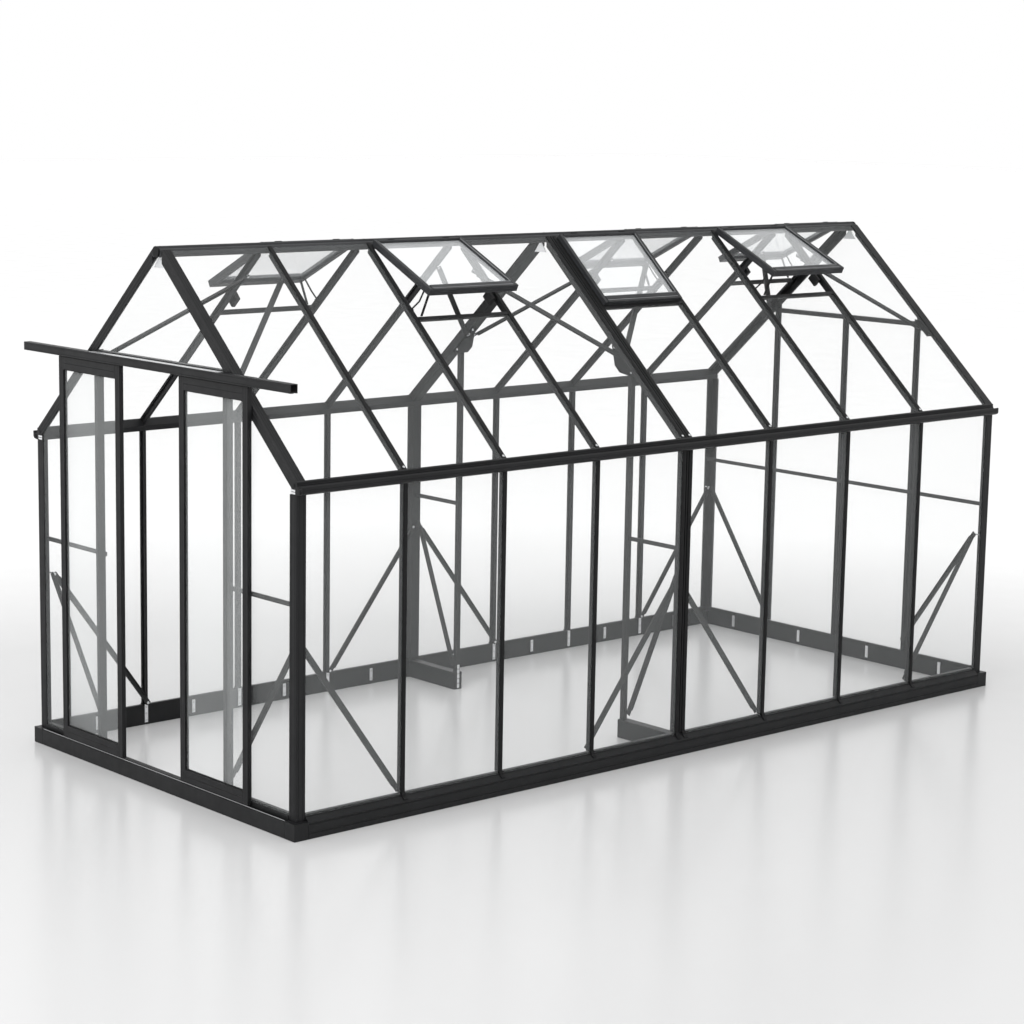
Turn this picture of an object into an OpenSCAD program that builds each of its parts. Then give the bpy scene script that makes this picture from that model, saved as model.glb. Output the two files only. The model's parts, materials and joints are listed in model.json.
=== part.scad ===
// Glass greenhouse with an aluminium frame: eight bays long, four bays wide,
// a steep roof with six roof vents, and two hanging sliding doors in the front gable.
// The front gable faces -Y, the ridge runs along Y, and the ground is at z = 0.

/* [Layout] */
// Distance between the glazing bars of the long walls
bay_pitch = 620; // [560:10:680]
// Bays in each long wall, an even number because two modules meet in the middle
bay_count = 8; // [4:2:10]
// Extra length taken by the double bars where the two modules meet
module_gap = 30; // [24:1:40]
// Half the width between the outer faces of the long walls
half_width = 1115; // [1000:5:1300]
// How far the gables stand outside the centre of the end bars
gable_out = 16; // [10:1:24]
// Height of the underside of the eaves
eaves_bottom = 1608; // [1500:4:1800]
// Height of the roof plane at the eaves
eaves_top = 1672; // [1570:4:1870]
// Roof pitch in degrees
roof_pitch = 42.5; // [36:0.5:46]

/* [Base] */
// Height of the flat base on the door side
base_h = 79; // [60:1:120]
// How far the base stands outside the walls
base_out = 27; // [15:1:40]
// How far the base stands inside the walls
base_in = 30; // [20:1:50]
// Side of a corner block, measured inwards from the wall face
corner_in = 54; // [45:1:70]

/* [Bars] */
// Width of a glazing bar
bar_w = 13; // [8:1:20]
// Depth of a glazing bar behind its cap
bar_d = 36; // [25:1:50]
// Width of the cap that holds the glass to a bar
cap_w = 25; // [20:1:34]
// Thickness of a cap
cap_t = 5; // [3:1:8]
// Depth of the gable rafters
gable_bar_d = 50; // [45:1:60]
// Width of the double bar in the middle of each long side
double_w = 62; // [52:1:80]
// Height of the thin horizontal rails
rail_h = 22; // [15:1:30]
// Height of the thin horizontal rails above the ground
rail_z = 1075; // [900:5:1300]
// Height of the underside of the head bar in each gable
head_z = 2076; // [1900:4:2080]

/* [Glass] */
// Thickness of the panes
glass_t = 4; // [3:0.5:6]

/* [Doors] */
// Width of one door leaf
door_w = 557; // [500:1:600]
// Thickness of a door leaf
door_d = 24; // [18:1:32]
// Width of a door stile
stile_w = 41; // [30:1:55]
// Height of the bottom rail of a door
door_bottom_rail = 62; // [40:2:120]
// Height of the top rail of a door
door_top_rail = 64; // [40:2:100]
// How far the left door stands open
left_open = 291; // [3:1:560]
// How far the right door stands open
right_open = 221; // [3:1:560]
// Left end of the door track
track_left = -1160; // [-1160:1:-1140]
// Right end of the door track
track_right = 1124; // [1121:1:1160]

/* [Vents] */
// Length of a roof vent down the slope
vent_l = 505; // [400:5:600]
// How far an open vent is lifted, in degrees
vent_lift = 16.5; // [5:0.5:40]

/* [Partition] */
// Distance of the middle posts from the ridge line
mid_post_x = 690; // [600:5:800]

/* [Hidden] */

// fine gap between pieces that meet, so that each stays a solid of its own
fit = 0.3;
body_len = bay_count * bay_pitch + module_gap;
mid_bay = bay_count / 2;
mid_y = body_len / 2;
rear_y = body_len;
run = cos(roof_pitch);
eave_x = half_width - 8;
corner_y = corner_in - gable_out;
quarter_x = half_width * 0.495;
glass_back = cap_t + 0.4;
glass_foot = 94;
lip_z = 105;
sill_z = 112;
bar_in = cap_t + bar_d;
mid_post_w = 28;
mid_sill_z = sill_z - 12;
ridge_half = 41;
ridge_top = 2656;
ridge_low = 2612;
// slope length from the eaves line to the vertical faces of the ridge, and to its middle
slope_len = (eave_x - ridge_half) / run;
apex_len = eave_x / run;
vent_hinge = slope_len - 12;
vent_low = vent_hinge - vent_l;
vent_t = 36;
// how far a closed vent reaches below the roof plane, between the rafters
vent_sink = 12;
vent_side = 24;
vent_low_rail = 50;
vent_top_rail = 16;
// clear space that a vent leaves free in its bay
vent_clear = cap_w - bar_w + 10;
slam_h = 18;
head_h = 26;
front_head_h = 44;
rail_d = 10;
corner_t = 14;
rail_end = half_width - corner_t - fit;
brace_top = 905;
brace_foot = 118;
brace_x = half_width - bar_in - 4 - fit;
// x of the left edge of each door leaf at rest
left_x = -door_w - left_open;
right_x = right_open;
door_back = gable_out + 6;
door_z = 91;
door_top = 2066;
track_z = 2072;
track_h = 42;
track_d = 40;
track_wall = 3;
track_back = gable_out + 4;
hanger_z = track_z + 22;
brace_w = 28;
brace_t = 4;
brace_d = 12;
// flat end of a brace, left without flanges
brace_end = 35;
// vents: [bay counted from the front, side, lift as a share of vent_lift]
vents = [[3, 1, 1], [5, 1, 0], [7, 1, 1], [2, -1, 1], [6, -1, 1], [8, -1, 1]];
// the part's origin is the middle of its outline on the ground
front_edge = track_back + track_d;
rear_edge = rear_y + gable_out + base_out;
origin_y = (rear_edge - front_edge) / 2;

alu = "#33363a";
pane = [0.85, 0.92, 0.93, 0.35];
zinc = "#d5d8da";
cap_col = "#202225";

// place of bar number k along a long wall
function bar_y(k) = k * bay_pitch + (k < mid_bay ? 0 : (k > mid_bay ? module_gap : module_gap / 2));
// half of what a bar takes from its bay
function bar_half(k) = k == mid_bay ? double_w / 2 : bar_w / 2;
// lowest and highest y of the clear space of bay b
function bay_lo(b) = b == 1 ? corner_y : bar_y(b - 1) + bar_half(b - 1);
function bay_hi(b) = b == bay_count ? rear_y - corner_y : bar_y(b) - bar_half(b);
function bay_mid(b) = (bay_lo(b) + bay_hi(b)) / 2;
function vent_w(b) = bay_hi(b) - bay_lo(b) - vent_clear;
function is_vent(b, side) = len([for (v = vents) if (v[0] == b && v[1] == side) v]) > 0;
// height of a line that runs parallel to the roof plane, in below it
function under_roof(x, in) = eaves_top + (eave_x - abs(x)) * tan(roof_pitch) - in / run;

module in_place() {
    translate([0, -origin_y, 0])
        children();
}

// children drawn for the right side are mirrored onto the left side
module side(s) {
    mirror([s < 0 ? 1 : 0, 0, 0])
        children();
}

// roof frame: +X out of the roof, +Z up the slope, origin on the eaves line
module on_slope(s) {
    side(s)
        translate([eave_x, 0, eaves_top])
            rotate([0, roof_pitch - 90, 0])
                children();
}

// upright strip whose outer face is at x = 0
module strip(depth, width, from, to, start = 0) {
    translate([-start - depth, -width / 2, from])
        cube([depth, width, to - from]);
}

// glazing cap: a flat strip with bevelled outer edges
module cap_strip(width, from, to) {
    bevel = cap_t * 0.4;
    translate([0, 0, from])
        linear_extrude(to - from)
            polygon([
                [-cap_t, -width / 2], [-bevel, -width / 2], [0, -width / 2 + bevel],
                [0, width / 2 - bevel], [-bevel, width / 2], [-cap_t, width / 2]
            ]);
}

// space under a line parallel to the roof planes, as a solid to cut with
module under_slopes(in, from_y, to_y) {
    translate([0, to_y, 0])
        rotate([90, 0, 0])
            linear_extrude(to_y - from_y)
                polygon([
                    [-half_width, 0], [half_width, 0], [half_width, under_roof(half_width, in)],
                    [0, under_roof(0, in)], [-half_width, under_roof(half_width, in)]
                ]);
}

// brace along +Y: a flat bar with its face at x = 0 and a flange on each edge
module brace_bar(length) {
    translate([-brace_t, 0, -brace_w / 2])
        cube([brace_t, length, brace_w]);
    for (z = [-brace_w / 2, brace_w / 2 - brace_t])
        translate([-brace_d, brace_end, z])
            cube([brace_d, length - 2 * brace_end, brace_t]);
}

// brace from point a to point b in the YZ plane
module flat_bar(a, b) {
    translate([0, a[0], a[1]])
        rotate([atan2(b[1] - a[1], b[0] - a[0]), 0, 0])
            brace_bar(norm(b - a));
}

/* base */

// outline of the ribbed base: x outwards from the wall face, y upwards
module base_outline() {
    out = base_out;
    rib = 3;
    polygon([
        [-base_in, 0], [out, 0], [out, 22], [out - rib, 24], [out - rib, 28], [out, 30],
        [out, 67], [out - rib, 69], [out - rib, 73], [out, 75], [out, base_h],
        [3, 99], [3, lip_z], [-glass_back + 1.4, lip_z], [-glass_back + 1.4, glass_foot - 2],
        [-glass_back - glass_t - 1.6, glass_foot - 2], [-glass_back - glass_t - 1.6, sill_z],
        [-base_in, sill_z]
    ]);
}

module side_base() {
    translate([half_width, rear_y - corner_y - fit, 0])
        rotate([90, 0, 0])
            linear_extrude(rear_y - 2 * corner_y - 2 * fit)
                base_outline();
}

module base_left() {
    color(alu) in_place() side(-1) side_base();
}

module base_right() {
    color(alu) in_place() side_base();
}

// flat-faced base under the doors, with sills beside the doorway
module base_front() {
    inner = half_width - corner_in - fit;
    sill_x = quarter_x + 14;
    color(alu) in_place() {
        translate([-inner, -gable_out - base_out, 0])
            cube([2 * inner, base_out + base_in, base_h]);
        for (s = [-1, 1])
            side(s)
                translate([sill_x, -gable_out, base_h + fit])
                    front_sill(inner - sill_x);
    }
}

// upstand with a groove for the glass beside the doorway
module front_sill(length) {
    low = base_h + fit;
    rotate([90, 0, 90])
        linear_extrude(length)
            polygon([
                [-3, 0], [base_in, 0], [base_in, sill_z - low],
                [glass_back + glass_t + 1.6, sill_z - low],
                [glass_back + glass_t + 1.6, glass_foot - 2 - low],
                [glass_back - 1.4, glass_foot - 2 - low], [glass_back - 1.4, lip_z - low],
                [-3, lip_z - low]
            ]);
}

module base_rear() {
    inner = half_width - corner_in - fit;
    color(alu) in_place()
        translate([-inner, rear_y + gable_out, 0])
            rotate([90, 0, 90])
                linear_extrude(2 * inner)
                    base_outline();
}

module base_corners() {
    size = corner_in + base_out;
    color(alu) in_place()
        for (s = [-1, 1], y = [-gable_out - base_out, rear_y - corner_y])
            side(s)
                translate([half_width - corner_in, y, 0])
                    cube([size, size, base_h + 3]);
}

// low rail on the base that guides the feet of the doors
module door_guide() {
    guide_w = 8;
    color(alu) in_place()
        translate([-half_width + corner_in, -door_back - door_d / 2 - guide_w / 2, base_h + fit])
            cube([2 * (half_width - corner_in), guide_w, 6]);
}

// zinc-coated clips on the inside of the base, tall at the bars and short between them
module clip(tall) {
    low = tall ? 12 : 20;
    high = tall ? sill_z : 92;
    clip_w = 20;
    translate([-base_in - fit - 3, -clip_w / 2, low])
        cube([3, clip_w, high - low]);
}

module base_clips() {
    gable_bay = half_width / 2;
    color(zinc) in_place() {
        for (s = [-1, 1], k = [1:bay_count])
            side(s)
                translate([half_width, 0, 0]) {
                    if (k != mid_bay && k != bay_count)
                        translate([0, bar_y(k), 0]) clip(true);
                    translate([0, (bar_y(k) + bar_y(k - 1)) / 2, 0]) clip(false);
                }
        for (x = [-1.5, -0.5, 0.5, 1.5])
            translate([x * gable_bay, rear_y + gable_out, 0])
                rotate([0, 0, 90]) clip(false);
        for (s = [-1, 1])
            side(s)
                translate([1.5 * gable_bay, -gable_out, 0])
                    rotate([0, 0, -90]) clip(false);
    }
}

/* walls */

// angle-shaped posts, open towards the inside of the house
module corner_posts() {
    low = base_h + 3 + fit;
    color(alu) in_place()
        for (s = [-1, 1], front = [true, false])
            side(s)
                at_gable(front)
                    translate([half_width, 0, low])
                        linear_extrude(eaves_bottom - fit - low)
                            polygon([
                                [0, 0], [0, corner_in], [-corner_t, corner_in], [-corner_t, corner_t],
                                [-corner_in, corner_t], [-corner_in, 0]
                            ]);
}

module single_bars() {
    for (k = [1:bay_count - 1])
        if (k != mid_bay)
            translate([half_width, bar_y(k), 0])
                strip(bar_d, bar_w, sill_z + fit, eaves_bottom - fit, cap_t);
}

module wall_bars_left() {
    color(alu) in_place() side(-1) single_bars();
}

module wall_bars_right() {
    color(alu) in_place() single_bars();
}

// caps over the bars of both long walls, three ribs side by side on the double bars
module wall_caps() {
    color(cap_col) in_place()
        for (s = [-1, 1], k = [1:bay_count - 1])
            side(s)
                translate([half_width, bar_y(k), 0])
                    if (k == mid_bay)
                        double_ribs(lip_z + fit, eaves_bottom - fit);
                    else
                        cap_strip(cap_w, lip_z + fit, eaves_bottom - fit);
}

// three ribs that cover a double bar
module double_ribs(from, to) {
    outer_w = double_w / 2 - 6;
    shift = double_w / 2 - outer_w / 2 + 6;
    for (y = [-shift, shift])
        translate([0, y, 0])
            cap_strip(outer_w, from, to);
    cap_strip(10, from, to);
}

// double bars and rafters where the two modules of the house are bolted together
module joint_bars() {
    depth = bar_d + 4;
    color(alu) in_place() {
        for (s = [-1, 1])
            side(s)
                translate([half_width, mid_y, 0])
                    strip(depth, double_w, sill_z + fit, eaves_bottom - fit, cap_t);
        ridge_cut()
            for (s = [-1, 1])
                on_slope(s)
                    translate([0, mid_y, 0])
                        strip(depth, double_w, 0, apex_len, cap_t);
    }
}

/* eaves and ridge */

// outline of the eaves gutter: x outwards from the wall face, y upwards
module eaves_outline() {
    tip = 44;
    seat_in = gable_bar_d * sin(roof_pitch);
    seat_down = gable_bar_d * cos(roof_pitch);
    off = fit;
    polygon([
        [-8 - seat_in + off, eaves_bottom], [6, eaves_bottom], [24, eaves_bottom + 2],
        [38, eaves_bottom + 8], [tip, eaves_bottom + 18], [tip, eaves_bottom + 40],
        [tip - 3, eaves_bottom + 43], [tip - 6, eaves_bottom + 40], [tip - 9, eaves_bottom + 30],
        [10, eaves_bottom + 28], [3, eaves_bottom + 40], [0, eaves_top - 5],
        [-8 + off, eaves_top - off], [-8 - seat_in + off, eaves_top - seat_down - off]
    ]);
}

module eaves() {
    over = gable_out + 1;
    translate([half_width, rear_y + over, 0])
        rotate([90, 0, 0])
            linear_extrude(rear_y + 2 * over)
                eaves_outline();
}

module eaves_left() {
    color(alu) in_place() side(-1) eaves();
}

module eaves_right() {
    color(alu) in_place() eaves();
}

// ridge: a box with sloping shoulders and a round bead along its top
module ridge_beam() {
    over = gable_out + 2;
    shoulder = 12;
    bead_r = 9;
    color(alu) in_place()
        translate([0, rear_y + over, 0])
            rotate([90, 0, 0])
                linear_extrude(rear_y + 2 * over)
                    union() {
                        polygon([
                            [-ridge_half, ridge_low + 12], [-ridge_half + 12, ridge_low],
                            [ridge_half - 12, ridge_low], [ridge_half, ridge_low + 12],
                            [ridge_half, ridge_top - shoulder - 6], [ridge_half - shoulder, ridge_top - 4],
                            [0, ridge_top], [-ridge_half + shoulder, ridge_top - 4],
                            [-ridge_half, ridge_top - shoulder - 6]
                        ]);
                        translate([0, ridge_top])
                            circle(r = bead_r, $fn = 32);
                    }
}

// round end caps of the ridge
module ridge_ends() {
    over = gable_out + 2;
    cap_len = 6;
    cap_r = 26.5;
    color(cap_col) in_place()
        for (y = [-over - fit - cap_len, rear_y + over + fit])
            translate([0, y + cap_len, ridge_top + 9 - cap_r])
                rotate([90, 0, 0])
                    cylinder(r = cap_r, h = cap_len, $fn = 48);
}

/* roof */

// cuts the top ends of the rafters upright, clear of the ridge
module ridge_cut() {
    difference() {
        children();
        translate([-ridge_half - fit, -200, ridge_low - 200])
            cube([2 * (ridge_half + fit), body_len + 400, 400]);
    }
}

module single_rafters() {
    for (k = [1:bay_count - 1])
        if (k != mid_bay)
            translate([0, bar_y(k), 0])
                strip(bar_d, bar_w, 0, apex_len, cap_t);
}

module rafters_left() {
    color(alu) in_place() ridge_cut() on_slope(-1) single_rafters();
}

module rafters_right() {
    color(alu) in_place() ridge_cut() on_slope(1) single_rafters();
}

module rafter_caps() {
    color(cap_col) in_place()
        ridge_cut()
            for (s = [-1, 1], k = [1:bay_count - 1])
                on_slope(s)
                    translate([0, bar_y(k), 0])
                        if (k == mid_bay)
                            double_ribs(0, apex_len);
                        else
                            cap_strip(cap_w, 0, apex_len);
}

// wide rafters of both gables, angle-shaped like the corner posts
module gable_rafters() {
    color(alu) in_place()
        ridge_cut()
            for (s = [-1, 1], front = [true, false])
                on_slope(s)
                    at_gable(front)
                        linear_extrude(apex_len)
                            polygon([
                                [0, 0], [0, corner_in], [-corner_t, corner_in], [-corner_t, corner_t],
                                [-gable_bar_d, corner_t], [-gable_bar_d, 0]
                            ]);
}

/* gables */

// upright gable bar at x, cut to the slope of the gable rafters; its outer face is at y = 0
module gable_bar(x, from, to) {
    translate([x - bar_w / 2, cap_t, from])
        cube([bar_w, bar_d, to - from]);
    translate([x, 0, 0])
        rotate([0, 0, -90])
            cap_strip(cap_w, from, to);
}

// frame of the rear gable: +Y of the children points into the house
module at_gable(front) {
    if (front)
        translate([0, -gable_out, 0])
            children();
    else
        translate([0, rear_y + gable_out, 0])
            mirror([0, 1, 0])
                children();
}

module gable_bars_rear() {
    top = ridge_low;
    color(alu) in_place()
        at_gable(false)
            intersection() {
                union() {
                    for (x = [-quarter_x, quarter_x])
                        gable_bar(x, sill_z + fit, top);
                    gable_bar(0, sill_z + fit, head_z - fit);
                }
                under_slopes(gable_bar_d + fit, -10, 200);
            }
}

// posts of the doorway
module gable_bars_front() {
    post_w = 26;
    color(alu) in_place()
        at_gable(true)
            intersection() {
                for (x = [-quarter_x, quarter_x])
                    translate([x - post_w / 2, 0, base_h + fit])
                        cube([post_w, bar_in, ridge_low - base_h]);
                under_slopes(gable_bar_d + fit, -10, 200);
            }
}

// head bars between the upper ends of the quarter bars, and thin rails across the
// gables and beside the middle posts
module gable_rails() {
    color(alu) in_place() {
        for (front = [true, false])
            at_gable(front)
                head_bar(front ? 13 : cap_w / 2, front ? front_head_h : head_h);
        at_gable(false)
            thin_rail(-rail_end, rail_end, bar_in + fit);
        for (s = [-1, 1])
            side(s) {
                at_gable(true)
                    thin_rail(quarter_x - 10, rail_end, bar_in + fit);
                thin_rail(mid_post_x + mid_post_w / 2 + fit, brace_x, mid_y - rail_d / 2);
            }
    }
}

module head_bar(post_half, high) {
    half = quarter_x - post_half - fit;
    translate([-half, 0, head_z])
        cube([2 * half, bar_in, high]);
}

module thin_rail(from_x, to_x, y) {
    translate([from_x, y, rail_z])
        cube([to_x - from_x, rail_d, rail_h]);
}

/* middle frame */

module middle_sills() {
    color(alu) in_place()
        for (s = [-1, 1])
            side(s)
                translate([mid_post_x - mid_post_w / 2, mid_y - 28, 0])
                    cube([half_width - base_in - fit - mid_post_x + mid_post_w / 2, 56, mid_sill_z]);
}

module middle_posts() {
    post_w = mid_post_w;
    color(alu) in_place()
        intersection() {
            for (s = [-1, 1])
                side(s)
                    translate([mid_post_x - post_w / 2, mid_y - post_w / 2, mid_sill_z + fit])
                        cube([post_w, post_w, ridge_low]);
            under_slopes(bar_in + 4 + fit, -10, rear_y);
        }
}

/* braces */

module wall_braces() {
    reach = bay_pitch + 6;
    color(alu) in_place()
        for (s = [-1, 1])
            side(s)
                translate([brace_x, 0, 0]) {
                    flat_bar([44, brace_top], [reach, brace_foot]);
                    flat_bar([rear_y - 44, brace_top], [rear_y - reach, brace_foot]);
                    for (e = [-1, 1])
                        flat_bar([mid_y + e * 18, brace_top], [mid_y + e * (reach + 9), brace_foot]);
                }
}

module gable_braces() {
    corner_x = half_width - corner_in;
    foot_x = quarter_x + 2;
    mid_foot = mid_post_x + 34;
    mid_top = half_width - bar_in - 22;
    depth = bar_in + fit;
    color(alu) in_place() {
        for (front = [true, false], s = [-1, 1])
            side(s)
                at_gable(front)
                    translate([0, depth, 0])
                        cross_bar([foot_x, brace_foot + 58], [corner_x, brace_top + 4]);
        for (s = [-1, 1])
            side(s)
                translate([0, mid_y - brace_t / 2, 0])
                    cross_bar([mid_foot, brace_foot + 12], [mid_top, brace_top + 32]);
    }
}

// brace across the house, between two points given as [x, z], flanges towards +Y
module cross_bar(a, b) {
    translate([a[0], 0, a[1]])
        rotate([0, -atan2(b[1] - a[1], b[0] - a[0]), 0])
            rotate([0, 0, -90])
                brace_bar(norm(b - a));
}

// braces under the rafters, each from the foot of a wide rafter up to the next bar
module roof_braces() {
    low = 625;
    high = 1270;
    color(alu) in_place()
        for (s = [-1, 1])
            on_slope(s)
                translate([-gable_bar_d - 1, 0, 0]) {
                    flat_bar([12, low], [bay_pitch + 6, high]);
                    flat_bar([rear_y - 12, low], [rear_y - bay_pitch - 6, high]);
                    for (e = [-1, 1])
                        flat_bar([mid_y + e * 16, low - 10], [mid_y + e * (bay_pitch + 21), high]);
                }
}

/* glass */

// panes of one long wall
module wall_panes() {
    for (b = [1:bay_count])
        translate([half_width - glass_back - glass_t, bay_lo(b) + fit, glass_foot])
            cube([glass_t, bay_hi(b) - bay_lo(b) - 2 * fit, eaves_bottom - fit - glass_foot]);
}

module wall_glass_left() {
    color(pane) in_place() side(-1) wall_panes();
}

module wall_glass_right() {
    color(pane) in_place() wall_panes();
}

// panes of one roof slope, shorter under the vents
module roof_panes(s) {
    for (b = [1:bay_count]) {
        top = is_vent(b, s) ? vent_low - slam_h - 2 : apex_len;
        translate([-glass_back - glass_t, bay_lo(b) + fit, 4])
            cube([glass_t, bay_hi(b) - bay_lo(b) - 2 * fit, top - 4]);
    }
}

module roof_glass_left() {
    color(pane) in_place() ridge_cut() on_slope(-1) roof_panes(-1);
}

module roof_glass_right() {
    color(pane) in_place() ridge_cut() on_slope(1) roof_panes(1);
}

// one gable pane between two x values, cut to the roof slope
module gable_pane(from_x, to_x, from_z, to_z) {
    translate([from_x + fit, glass_back, from_z + fit])
        cube([to_x - from_x - 2 * fit, glass_t, to_z - from_z - 2 * fit]);
}

module gable_glass_rear() {
    edge = bar_w / 2;
    color(pane) in_place()
        at_gable(false)
            intersection() {
                union() {
                    for (s = [-1, 1])
                        side(s) {
                            gable_pane(quarter_x + edge, half_width - corner_in, glass_foot, ridge_low);
                            gable_pane(edge, quarter_x - edge, glass_foot, head_z);
                        }
                    gable_pane(-quarter_x + edge + 6, quarter_x - edge - 6, head_z + head_h, ridge_low);
                }
                under_slopes(gable_bar_d + fit, -10, 200);
            }
}

module gable_glass_front() {
    edge = 13;
    color(pane) in_place()
        at_gable(true)
            intersection() {
                union() {
                    for (s = [-1, 1])
                        side(s)
                            gable_pane(quarter_x + edge, half_width - corner_in, glass_foot, ridge_low);
                    gable_pane(-quarter_x + edge, quarter_x - edge, head_z + front_head_h, ridge_low);
                }
                under_slopes(gable_bar_d + fit, -10, 200);
            }
}

/* roof vents */

// frame of reference of a vent: origin on its hinge line, -Z down the slope
module at_vent(v) {
    on_slope(v[1])
        translate([1, bay_mid(v[0]), vent_hinge])
            rotate([0, -vent_lift * v[2], 0])
                children();
}

module vent_frames() {
    color(alu) in_place()
        for (v = vents)
            at_vent(v) {
                wide = vent_w(v[0]);
                across = wide - 2 * vent_side - 2 * fit;
                for (e = [-1, 1])
                    translate([-vent_sink, e * (wide - vent_side) / 2 - vent_side / 2, -vent_l])
                        cube([vent_t, vent_side, vent_l]);
                translate([-vent_sink, -across / 2, -vent_l])
                    cube([vent_t, across, vent_low_rail]);
                translate([-vent_sink, -across / 2, -vent_top_rail])
                    cube([vent_t, across, vent_top_rail]);
            }
}

module vent_glass() {
    low = -vent_l + vent_low_rail + fit;
    color(pane) in_place()
        for (v = vents)
            at_vent(v) {
                across = vent_w(v[0]) - 2 * vent_side - 2 * fit;
                translate([vent_t / 2 - vent_sink, -across / 2, low])
                    cube([glass_t, across, -vent_top_rail - fit - low]);
            }
}

// cross bars that the vents close against, each with a lip between the rafter caps
module slam_bars() {
    thick = 15;
    clear = (cap_w - bar_w) / 2 + 1;
    back = -cap_t - fit - thick;
    color(alu) in_place()
        for (v = vents)
            on_slope(v[1]) {
                low = bay_lo(v[0]) + fit;
                span = bay_hi(v[0]) - low - fit;
                translate([back, low, vent_low - slam_h - 1])
                    cube([thick, span, slam_h]);
                translate([back, low + clear, vent_low - slam_h - 1])
                    cube([thick + cap_t, span - 2 * clear, slam_h]);
            }
}

// stay arms that hold the vents open, standing near one end of the slam bars
module vent_stays() {
    arm_w = 12;
    arm_t = 5;
    from_rail = 20;
    arm_l = (vent_l - from_rail) * tan(vent_lift) - 1;
    color(alu) in_place()
        for (v = vents)
            if (v[2] > 0)
                at_vent(v)
                    translate([-arm_l, -v[1] * (vent_w(v[0]) / 2 - 20) - arm_w / 2, -vent_l + from_rail])
                        cube([arm_l - vent_sink - fit, arm_w, arm_t]);
}

/* sliding doors */

// box track with a slot along its underside, drawn as the plates of its section
module door_track() {
    length = track_right - track_left;
    slot = 14;
    slot_mid = track_back + track_d - door_back - door_d / 2;
    inside = track_wall + fit;
    color(alu) in_place()
        translate([track_left, -track_back - track_d, track_z]) {
            cube([length, track_wall, track_h]);
            translate([0, track_d - track_wall, 0])
                cube([length, track_wall, track_h]);
            translate([0, inside, track_h - track_wall])
                cube([length, track_d - 2 * inside, track_wall]);
            translate([0, inside, 0])
                cube([length, slot_mid - slot / 2 - inside, track_wall]);
            translate([0, slot_mid + slot / 2, 0])
                cube([length, track_d - inside - slot_mid - slot / 2, track_wall]);
        }
}

module door_frame(x) {
    inner = door_w - 2 * stile_w - 2 * fit;
    color(alu) in_place()
        translate([x, -door_back - door_d, door_z]) {
            for (e = [0, door_w - stile_w])
                translate([e, 0, 0])
                    cube([stile_w, door_d, door_top - door_z]);
            translate([stile_w + fit, 0, 0])
                cube([inner, door_d, door_bottom_rail]);
            translate([stile_w + fit, 0, door_top - door_z - door_top_rail])
                cube([inner, door_d, door_top_rail]);
        }
}

module door_glass(x) {
    inner = door_w - 2 * stile_w - 2 * fit;
    low = door_z + door_bottom_rail + fit;
    color(pane) in_place()
        translate([x + stile_w + fit, -door_back - door_d / 2 - glass_t / 2, low])
            cube([inner, glass_t, door_top - door_top_rail - fit - low]);
}

// two hangers per leaf: a plate through the slot and a roller inside the track
module door_hangers(x) {
    plate_w = 40;
    color(zinc) in_place()
        for (e = [80, door_w - 80])
            translate([x + e, -door_back - door_d / 2, 0]) {
                translate([-plate_w / 2, -2, door_top + fit])
                    cube([plate_w, 4, hanger_z - door_top]);
                translate([0, 5, hanger_z])
                    rotate([90, 0, 0])
                        cylinder(r = 11, h = 10, $fn = 32);
            }
}

module left_door_frame() { door_frame(left_x); }
module left_door_glass() { door_glass(left_x); }
module left_door_hangers() { door_hangers(left_x); }
module right_door_frame() { door_frame(right_x); }
module right_door_glass() { door_glass(right_x); }
module right_door_hangers() { door_hangers(right_x); }

base_left();
base_right();
base_front();
base_rear();
base_corners();
door_guide();
corner_posts();
wall_bars_left();
wall_bars_right();
wall_caps();
joint_bars();
eaves_left();
eaves_right();
ridge_beam();
ridge_ends();
rafters_left();
rafters_right();
rafter_caps();
gable_rafters();
gable_bars_rear();
gable_bars_front();
gable_rails();
door_track();
middle_posts();
middle_sills();
wall_braces();
gable_braces();
roof_braces();
base_clips();
wall_glass_left();
wall_glass_right();
roof_glass_left();
roof_glass_right();
gable_glass_rear();
gable_glass_front();
vent_frames();
vent_glass();
slam_bars();
vent_stays();
left_door_frame();
left_door_glass();
left_door_hangers();
right_door_frame();
right_door_glass();
right_door_hangers();
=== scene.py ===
"""Looks of a glass greenhouse: bars, caps, gutters, glass, vents and doors built on its frame."""

import json
import math

import bmesh
import bpy
from mathutils import Matrix, Vector

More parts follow.
